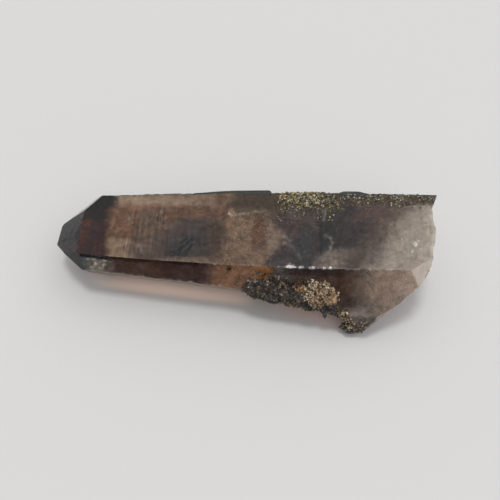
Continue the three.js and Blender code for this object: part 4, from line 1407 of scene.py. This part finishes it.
def build_dark():
    rng = np.random.default_rng(41)
    parts = []
    for i, (c, s) in enumerate(LUMPS["dark"]):
        v, f = lump_body(c, (s[0] * 0.9, s[1] * 0.82, s[2] * 0.5), 61.0, 540 + i)
        parts.append((v, f, np.tile(np.array([[0.012, 0.011, 0.010]]), (len(v), 1))))
    trees = [solid, tree_of(parts)]
    r3 = lean_matrix(61.0)
    axis = r3 @ np.array([0, 0, 1.0])
    pts, rad = scatter(LUMPS["dark"], 61.0, num(3600), rng, 0.97, 0.07)
    # thinning out up the face above
    cnt = num(700)
    up = np.minimum(rng.exponential(1.5, cnt), 5.0)
    fx = rng.uniform(0.5, 26, cnt)
    more = np.stack([fx, -16.9 - 0.06 * fx + 0.5 * up, 15.4 - 0.10 * fx + 0.866 * up], 1)
    pts = np.concatenate([pts, more[fbm(more, 0.5, 2, 571) > -0.2]])
    local = (pts - np.array([22.1, -18.45, 14.06])) @ r3
    clear = (local[:, 0] / 4.9) ** 2 + (local[:, 1] / 4.6) ** 2 > 1.0
    pts = pts[clear]
    h, nm, ok = seat(trees, pts, axis)
    h, nm = h[ok], nm[ok]
    k = len(h)
    sz = rng.uniform(0.11, 0.36, k)
    sizes = np.stack([sz, sz * rng.uniform(0.5, 1.0, k), sz * rng.uniform(0.5, 1.3, k)], 1)
    # the few pale grey grains in this palette are painted glints; the black, brown and rust ones are the crust's own
    # colours
    cols = palette(rng, [(0.014, 0.012, 0.010), (0.034, 0.028, 0.021), (0.095, 0.068, 0.046), (0.27, 0.23, 0.18), (0.14, 0.075, 0.038)],
                   [6, 5, 3.2, 0.8, 1.8], k)
    parts.append(grains(CUBE, h + nm * (0.03 + 0.25 * rng.uniform(0, 1, k))[:, None], nm, sizes, np.abs(rng.normal(0, 0.9, k)), cols, rng, 0.25))
    # short black needles standing out of it
    pts, rad = scatter(LUMPS["dark"], 61.0, num(420), rng, 0.95, 0.0)
    h, nm, ok = seat(trees, pts, axis)
    h, nm = h[ok], nm[ok]
    k = len(h)
    ln = rng.uniform(0.35, 0.95, k)
    wd_ = rng.uniform(0.07, 0.2, k)
    parts.append(grains(NEEDLE, h + nm * 0.15, nm, np.stack([wd_, wd_, ln], 1), np.abs(rng.normal(0, 0.9, k)),
                        palette(rng, [(0.01, 0.01, 0.01), (0.05, 0.05, 0.045)], [4, 2], k), rng, 0.1))
    for a, b, r in SPIKES:
        a, b = np.array(a), np.array(b)
        d = b - a
        ln = np.linalg.norm(d)
        d /= ln
        t = np.cross(d, [0.3, 0.2, 1.0])
        t /= np.linalg.norm(t)
        w = np.cross(d, t)
        vs, fs = [], []
        rings = 7
        for j in range(rings):
            s = j / (rings - 1)
            rr = 1.08 * r * (1 - s) ** 0.5 + 0.03
            for q in range(6):
                an = math.radians(60 * q + 7 * j)
                step = 1 + 0.10 * ((j % 2) * 2 - 1)
                vs.append(a + d * ln * (s * 1.25 - 0.25) * 0.97 + (t * math.cos(an) + w * math.sin(an)) * rr * step)
        for j in range(rings - 1):
            for q in range(6):
                fs.append((j * 6 + q, j * 6 + (q + 1) % 6, (j + 1) * 6 + (q + 1) % 6, (j + 1) * 6 + q))
        fs.append(tuple(range(6))[::-1])
        fs.append(tuple((rings - 1) * 6 + q for q in range(6)))
        parts.append((np.array(vs), fs, np.tile(np.array([[0.014, 0.013, 0.013]]), (len(vs), 1))))
    return crust_mesh("dark_grain_crust_fine", parts)


mica = build_mica()
mica.materials.append(crust_material("golden_mica_flakes", 0.32, 0.35, 0.6))
piece("mica_crust_flakes", mica, "mica_crust")
tan = build_tan()
tan.materials.append(crust_material("tan_feldspar_grains", 0.75, 0.0, 0.35))
piece("tan_crust_grains", tan, "tan_grain_crust")
darkm = build_dark()
darkm.materials.append(crust_material("dark_mineral_grains", 0.3, 0.0, 0.6))
piece("dark_crust_grains", darkm, "dark_grain_crust")


def build_specks():
    """Loose dark, olive and tan grit on the back strip, by the small crystal and along the lower front edge."""
    rng = np.random.default_rng(51)
    parts = []
    cnt = num(760)
    q = np.stack([rng.uniform(27, 56.5, cnt), 14.3 - np.abs(rng.normal(0, 2.1, cnt)), np.full(cnt, 24.0)], 1)
    keep = rng.uniform(0, 1, cnt) < 0.35 + 0.65 * smooth(-0.1, 0.4, noise(q, 0.35, 560))
    h, nm, ok = seat([solid], q[keep], (0, 0, 1))
    h, nm = h[ok], nm[ok]
    k = len(h)
    r = rng.uniform(0.08, 0.26, k)
    cols = palette(rng, [(0.05, 0.048, 0.038), (0.12, 0.11, 0.08), (0.28, 0.25, 0.19), (0.42, 0.39, 0.33)], [6, 4, 2, 1.2], k)
    parts.append(grains(CUBE, h + nm * 0.05, nm, np.stack([r, r * 0.8, r * 0.55], 1), np.abs(rng.normal(0, 0.6, k)), cols, rng, 0.3))
    cnt = num(520)
    t = rng.uniform(0, 1, cnt)
    q = np.stack([28 + 5.5 * t + rng.normal(0, 0.7, cnt), -20.3 - 1.2 * t + rng.normal(0, 0.8, cnt), 11 - 7.5 * t + rng.normal(0, 1.0, cnt)], 1)
    axis = np.array([-0.25, -0.8, 0.55])
    axis /= np.linalg.norm(axis)
    h, nm, ok = seat([solid], q, axis)
    h, nm = h[ok], nm[ok]
    k = len(h)
    r = rng.uniform(0.1, 0.34, k)
    cols = palette(rng, [(0.03, 0.026, 0.022), (0.42, 0.27, 0.14), (0.55, 0.46, 0.34), (0.18, 0.12, 0.08)], [5, 3, 2, 3], k)
    parts.append(grains(CUBE, h + nm * 0.08, nm, np.stack([r, r * 0.7, r * 0.7], 1), np.abs(rng.normal(0, 0.8, k)), cols, rng, 0.3))
    # a lip of cream and dark grit on the small crystal
    cnt = num(130)
    q = SIDE_TIP - SIDE_AXIS * rng.uniform(0.6, 9.0, (cnt, 1)) + rng.normal(0, 1.0, (cnt, 3)) * (0.2, 1.2, 1.0)
    axis = np.array([0, -0.62, 0.78])
    h, nm, ok = seat([solid], q, axis)
    h, nm = h[ok], nm[ok]
    k = len(h)
    r = rng.uniform(0.08, 0.3, k)
    cols = palette(rng, [(0.03, 0.026, 0.022), (0.50, 0.42, 0.31), (0.20, 0.15, 0.11)], [4, 2.4, 4], k)
    parts.append(grains(CUBE, h + nm * 0.05, nm, np.stack([r, r * 0.7, r * 0.6], 1), np.abs(rng.normal(0, 0.7, k)), cols, rng, 0.3))
    # grit on the back faces, where other stones were attached
    cnt = num(2600)
    q = np.stack([rng.uniform(-30, 55, cnt), np.full(cnt, 16.0), rng.uniform(8, 24, cnt)], 1)
    dense = fbm(q, (0.10, 0.1, 0.16), 3, 572) + 0.25 * smooth(5, 40, q[:, 0]) + 0.25 * smooth(16, 23, q[:, 2])
    q = q[rng.uniform(0, 1, cnt) < 0.75 * smooth(0.22, 0.75, dense)]
    h, nm, ok = seat([solid], q, (0, 1, 0))
    h, nm = h[ok], nm[ok]
    k = len(h)
    r = 0.05 + 0.09 * rng.exponential(1.0, k).clip(0, 3)
    cols = palette(rng, [(0.03, 0.03, 0.025), (0.24, 0.19, 0.11), (0.42, 0.36, 0.27), (0.10, 0.09, 0.06)], [5, 2, 1.2, 4], k)
    parts.append(grains(CUBE, h + nm * 0.03, nm, np.stack([r, r * 0.8, r * 0.5], 1), np.abs(rng.normal(0, 0.5, k)), cols, rng, 0.35))
    v, f, c = merge(parts)
    v[:, 2] = np.maximum(v[:, 2], 0.0)
    return crust_mesh("loose_grit_fine", [(v, f, c)])


specks = build_specks()
specks.materials.append(crust_material("loose_grit", 0.55, 0.0, 0.45))
piece("loose_grit", specks)


# ------------------------------------------------------------------ sealed inside the crystal
def veil_mesh(name, sheets):
    """Thin crumpled sheets; each is (centre, u vector, v vector, ripple, seed) in mm."""
    vs, fs, al, off = [], [], [], 0
    for centre, u, v, rip, seed in sheets:
        u, v = np.array(u, float), np.array(v, float)
        nu, nw = max(6, int(np.linalg.norm(u) / 0.8)), max(6, int(np.linalg.norm(v) / 0.8))
        s, t = np.meshgrid(np.linspace(-1, 1, nu + 1), np.linspace(-1, 1, nw + 1), indexing="ij")
        s, t = s.ravel(), t.ravel()
        p = np.array(centre) + s[:, None] * u + t[:, None] * v
        nrm = np.cross(u, v)
        nrm /= np.linalg.norm(nrm)
        p = p + nrm * (rip * fbm(p, 0.16, 3, seed))[:, None]
        edge = 1 - smooth(0.45, 1.0, np.hypot(s, t) + 0.35 * noise(p, 0.3, seed + 5))
        vs.append(p)
        al.append(edge)
        k = nw + 1
        fs += [(off + i * k + j, off + i * k + j + 1, off + (i + 1) * k + j + 1, off + (i + 1) * k + j) for i in range(nu) for j in range(nw)]
        off += len(p)
    mesh = bpy.data.meshes.new(name)
    mesh.from_pydata([tuple(q) for q in np.concatenate(vs)], [], fs)
    a = mesh.attributes.new("fade", "FLOAT", "POINT")
    a.data.foreach_set("value", np.concatenate(al).astype(np.float32))
    return mesh


def veil_material(name, colour, strength, scale):
    k = Net(name)
    fade = k.attr("fade").outputs["Fac"]
    n1 = k.ramp(k.noise(scale, 5, 0.62, 0.6), 0.46, 0.66)
    n2 = k.ramp(k.noise(scale * 5, 3, 0.6), 0.35, 0.6, 0.3, 1.0)
    a = k.math("MULTIPLY", k.math("MULTIPLY", fade, n1), k.math("MULTIPLY", n2, strength), clamp=True)
    k.link(a, k.bsdf.inputs["Alpha"])
    k.bsdf.inputs["Base Color"].default_value = (*colour, 1)
    k.bsdf.inputs["Roughness"].default_value = 0.6
    k.bsdf.inputs["Specular IOR Level"].default_value = 0.2
    return k.m


white_sheets = [((46, 2, 17), (7, 1, 1), (0, 10, 2), 1.6, 600), ((44, -6, 13), (7, 0, 3), (0, 8, -3), 1.8, 601), ((48, 5, 10), (5, 2, 3), (0, 9, 1), 1.8, 602),
                ((40, 6, 15), (6, -2, 1), (0, 7, 4), 1.5, 603), ((51, -3, 15), (3, 0, -6), (0, 9, 0), 1.2, 604), ((36, -9, 17.5), (6, 1, 0.5), (0, 4, 1.5), 1.0, 605),
                ((24.3, -4.5, 18.5), (1.6, 0.4, 0), (0.5, 3.2, -1.2), 0.4, 606), ((11.5, -4.6, 18.6), (2.4, -1.4, 0.2), (0.6, 1.6, -1.0), 0.3, 607),
                ((-38, 2, 14), (5, 1, 1), (0, 7, -3), 1.0, 608), ((0, 0, 15.5), (5.5, 1, 0.5), (0, 9, -2), 1.0, 609), ((-16, 9.5, 15), (9, 0, 0), (0, 2.5, -1.5), 0.7, 610)]
veil = veil_mesh("inner_veils_mesh", white_sheets)
veil.materials.append(veil_material("inner_veil", (0.80, 0.76, 0.70), 0.75, 0.42))
shade(veil, 60)
piece("inner_veils", veil)


def fibre_mesh(name, lines, radius):
    vs, fs, off = [], [], 0
    sides = 5
    for line in lines:
        pts = np.array(line, float)
        k = len(pts)
        for i, p in enumerate(pts):
            d = pts[min(i + 1, k - 1)] - pts[max(i - 1, 0)]
            d /= np.linalg.norm(d)
            u = np.cross(d, (0.1, 0.2, 1.0))
            u /= np.linalg.norm(u)
            w = np.cross(d, u)
            r = radius * (0.35 + 0.65 * math.sin(math.pi * (i + 0.5) / k))
            for q in range(sides):
                an = 2 * math.pi * q / sides
                vs.append(p + (u * math.cos(an) + w * math.sin(an)) * r)
        for i in range(k - 1):
            for q in range(sides):
                fs.append((off + i * sides + q, off + i * sides + (q + 1) % sides, off + (i + 1) * sides + (q + 1) % sides, off + (i + 1) * sides + q))
        fs.append(tuple(off + q for q in range(sides))[::-1])
        fs.append(tuple(off + (k - 1) * sides + q for q in range(sides)))
        off += k * sides
    mesh = bpy.data.meshes.new(name)
    mesh.from_pydata([tuple(q) for q in vs], [], fs)
    bm = bmesh.new()
    bm.from_mesh(mesh)
    bmesh.ops.recalc_face_normals(bm, faces=bm.faces[:])
    bm.to_mesh(mesh)
    bm.free()
    return mesh


def squiggles():
    rng = np.random.default_rng(61)
    lines = []
    for k, (cx, cy, lx, ly) in enumerate(STROKES):
        t = np.linspace(-1, 1, 9)
        px = cx + lx * t * 0.7 + rng.normal(0, 0.14, 9)
        py = cy + ly * (t if k % 2 else 0.6 * t + 0.4 * np.sin(3 * t)) * 0.9 + rng.normal(0, 0.12, 9)
        pz = top_z(px) - 0.75 - 0.25 * np.abs(rng.normal(size=9))
        lines.append(np.stack([px, py, pz], 1))
    return lines


fib = fibre_mesh("inner_fibres_mesh", squiggles(), 0.13)
km = Net("black_inclusion")
km.link(km.ramp(km.noise(4.0, 3), 0.3, 0.7, 0.2, 0.55), km.bsdf.inputs["Roughness"])
km.link(km.mix(km.noise(2.5, 3), (0.006, 0.006, 0.006), (0.02, 0.018, 0.016)), km.bsdf.inputs["Base Color"])
fib.materials.append(km.m)
piece("inner_fibres", fib)

# ------------------------------------------------------------------ stage
paper = Net("paper")
paper.bsdf.inputs["Base Color"].default_value = (0.735, 0.728, 0.723, 1)
paper.bsdf.inputs["Roughness"].default_value = 0.9
paper.bsdf.inputs["Specular IOR Level"].default_value = 0.2
floor_mesh = bpy.data.meshes.new("floor")
s = 1.6
floor_mesh.from_pydata([(-s, -s, -0.00015), (s, -s, -0.00015), (s, s, -0.00015), (-s, s, -0.00015)], [], [(0, 1, 2, 3)])
floor_mesh.materials.append(paper.m)
floor = bpy.data.objects.new("floor", floor_mesh)
bpy.context.scene.collection.objects.link(floor)

world = bpy.data.worlds.new("world")
bpy.context.scene.world = world
world.use_nodes = True
wt = world.node_tree
bg = wt.nodes["Background"]
gen = wt.nodes.new("ShaderNodeTexCoord").outputs["Generated"]
sep = wt.nodes.new("ShaderNodeSeparateXYZ")
wt.links.new(gen, sep.inputs[0])


def wmap(v, a, b, lo, hi):
    nd = wt.nodes.new("ShaderNodeMapRange")
    nd.interpolation_type = "SMOOTHSTEP"
    wt.links.new(v, nd.inputs["Value"])
    for key, val in (("From Min", a), ("From Max", b), ("To Min", lo), ("To Max", hi)):
        nd.inputs[key].default_value = val
    return nd.outputs["Result"]


def wmath(op, a, b):
    nd = wt.nodes.new("ShaderNodeMath")
    nd.operation = op
    for i, v in enumerate((a, b)):
        if isinstance(v, float):
            nd.inputs[i].default_value = v
        else:
            wt.links.new(v, nd.inputs[i])
    return nd.outputs[0]


low = wmap(sep.outputs["Z"], 0.05, 0.6, 1.0, 0.0)
front = wmap(sep.outputs["Y"], -0.2, -0.8, 0.0, 1.0)
dim = wmath("MULTIPLY", wmath("MULTIPLY", low, front), wmap(sep.outputs["X"], -0.05, 0.5, 1.0, 0.0))
sky = wmap(sep.outputs["Z"], 0.0, 0.95, WORLD_LEVEL - 0.14, WORLD_LEVEL + 0.10)
side = wmap(sep.outputs["X"], -0.9, 0.9, 0.71, 1.25)
light = wmath("MULTIPLY", wmath("MULTIPLY", sky, side), wmath("SUBTRACT", 1.0, wmath("MULTIPLY", dim, 0.80)))
seen = wt.nodes.new("ShaderNodeLightPath").outputs["Is Camera Ray"]
nd = wt.nodes.new("ShaderNodeMix")
nd.data_type = "FLOAT"
wt.links.new(seen, nd.inputs[0])
wt.links.new(light, nd.inputs[2])
nd.inputs[3].default_value = 0.70
wt.links.new(nd.outputs[0], bg.inputs["Color"])
bg.inputs["Strength"].default_value = 1.0

sun_data = bpy.data.lights.new("key", "SUN")
sun_data.energy = 0.86
sun_data.angle = math.radians(12)
sun = bpy.data.objects.new("key", sun_data)
sun.rotation_mode = "QUATERNION"
sun.rotation_quaternion = Vector((0.0, 0.05, -0.99)).to_track_quat("-Z", "Y")
bpy.context.scene.collection.objects.link(sun)

# warm light that comes out under the overhang, as it does beneath a smoky crystal
for name, cx, cy, length, turn, power, colour in (("glow_left", -24.0, -11.4, 52.0, -0.073, 0.00018, (1.0, 0.58, 0.38)),
                                                  ("glow_right", 18.0, -16.8, 28.0, -0.268, 0.00003, (1.0, 0.25, 0.08))):
    g_data = bpy.data.lights.new(name, "AREA")
    g_data.shape = "ELLIPSE"
    g_data.size, g_data.size_y = length * MM, 2.4 * MM
    g_data.energy = power
    g_data.color = colour
    g_data.spread = math.radians(120)
    glow = bpy.data.objects.new(name, g_data)
    glow.location = Vector(place((cx, cy, 3.5)))
    glow.rotation_mode = "QUATERNION"
    glow.rotation_quaternion = Quaternion((0, 0, 1), turn) @ Vector((0.0, 0.30, -0.95)).to_track_quat("-Z", "Y")
    glow.visible_camera = glow.visible_glossy = glow.visible_transmission = False
    bpy.context.scene.collection.objects.link(glow)

bpy.context.scene.view_settings.view_transform = "Standard"
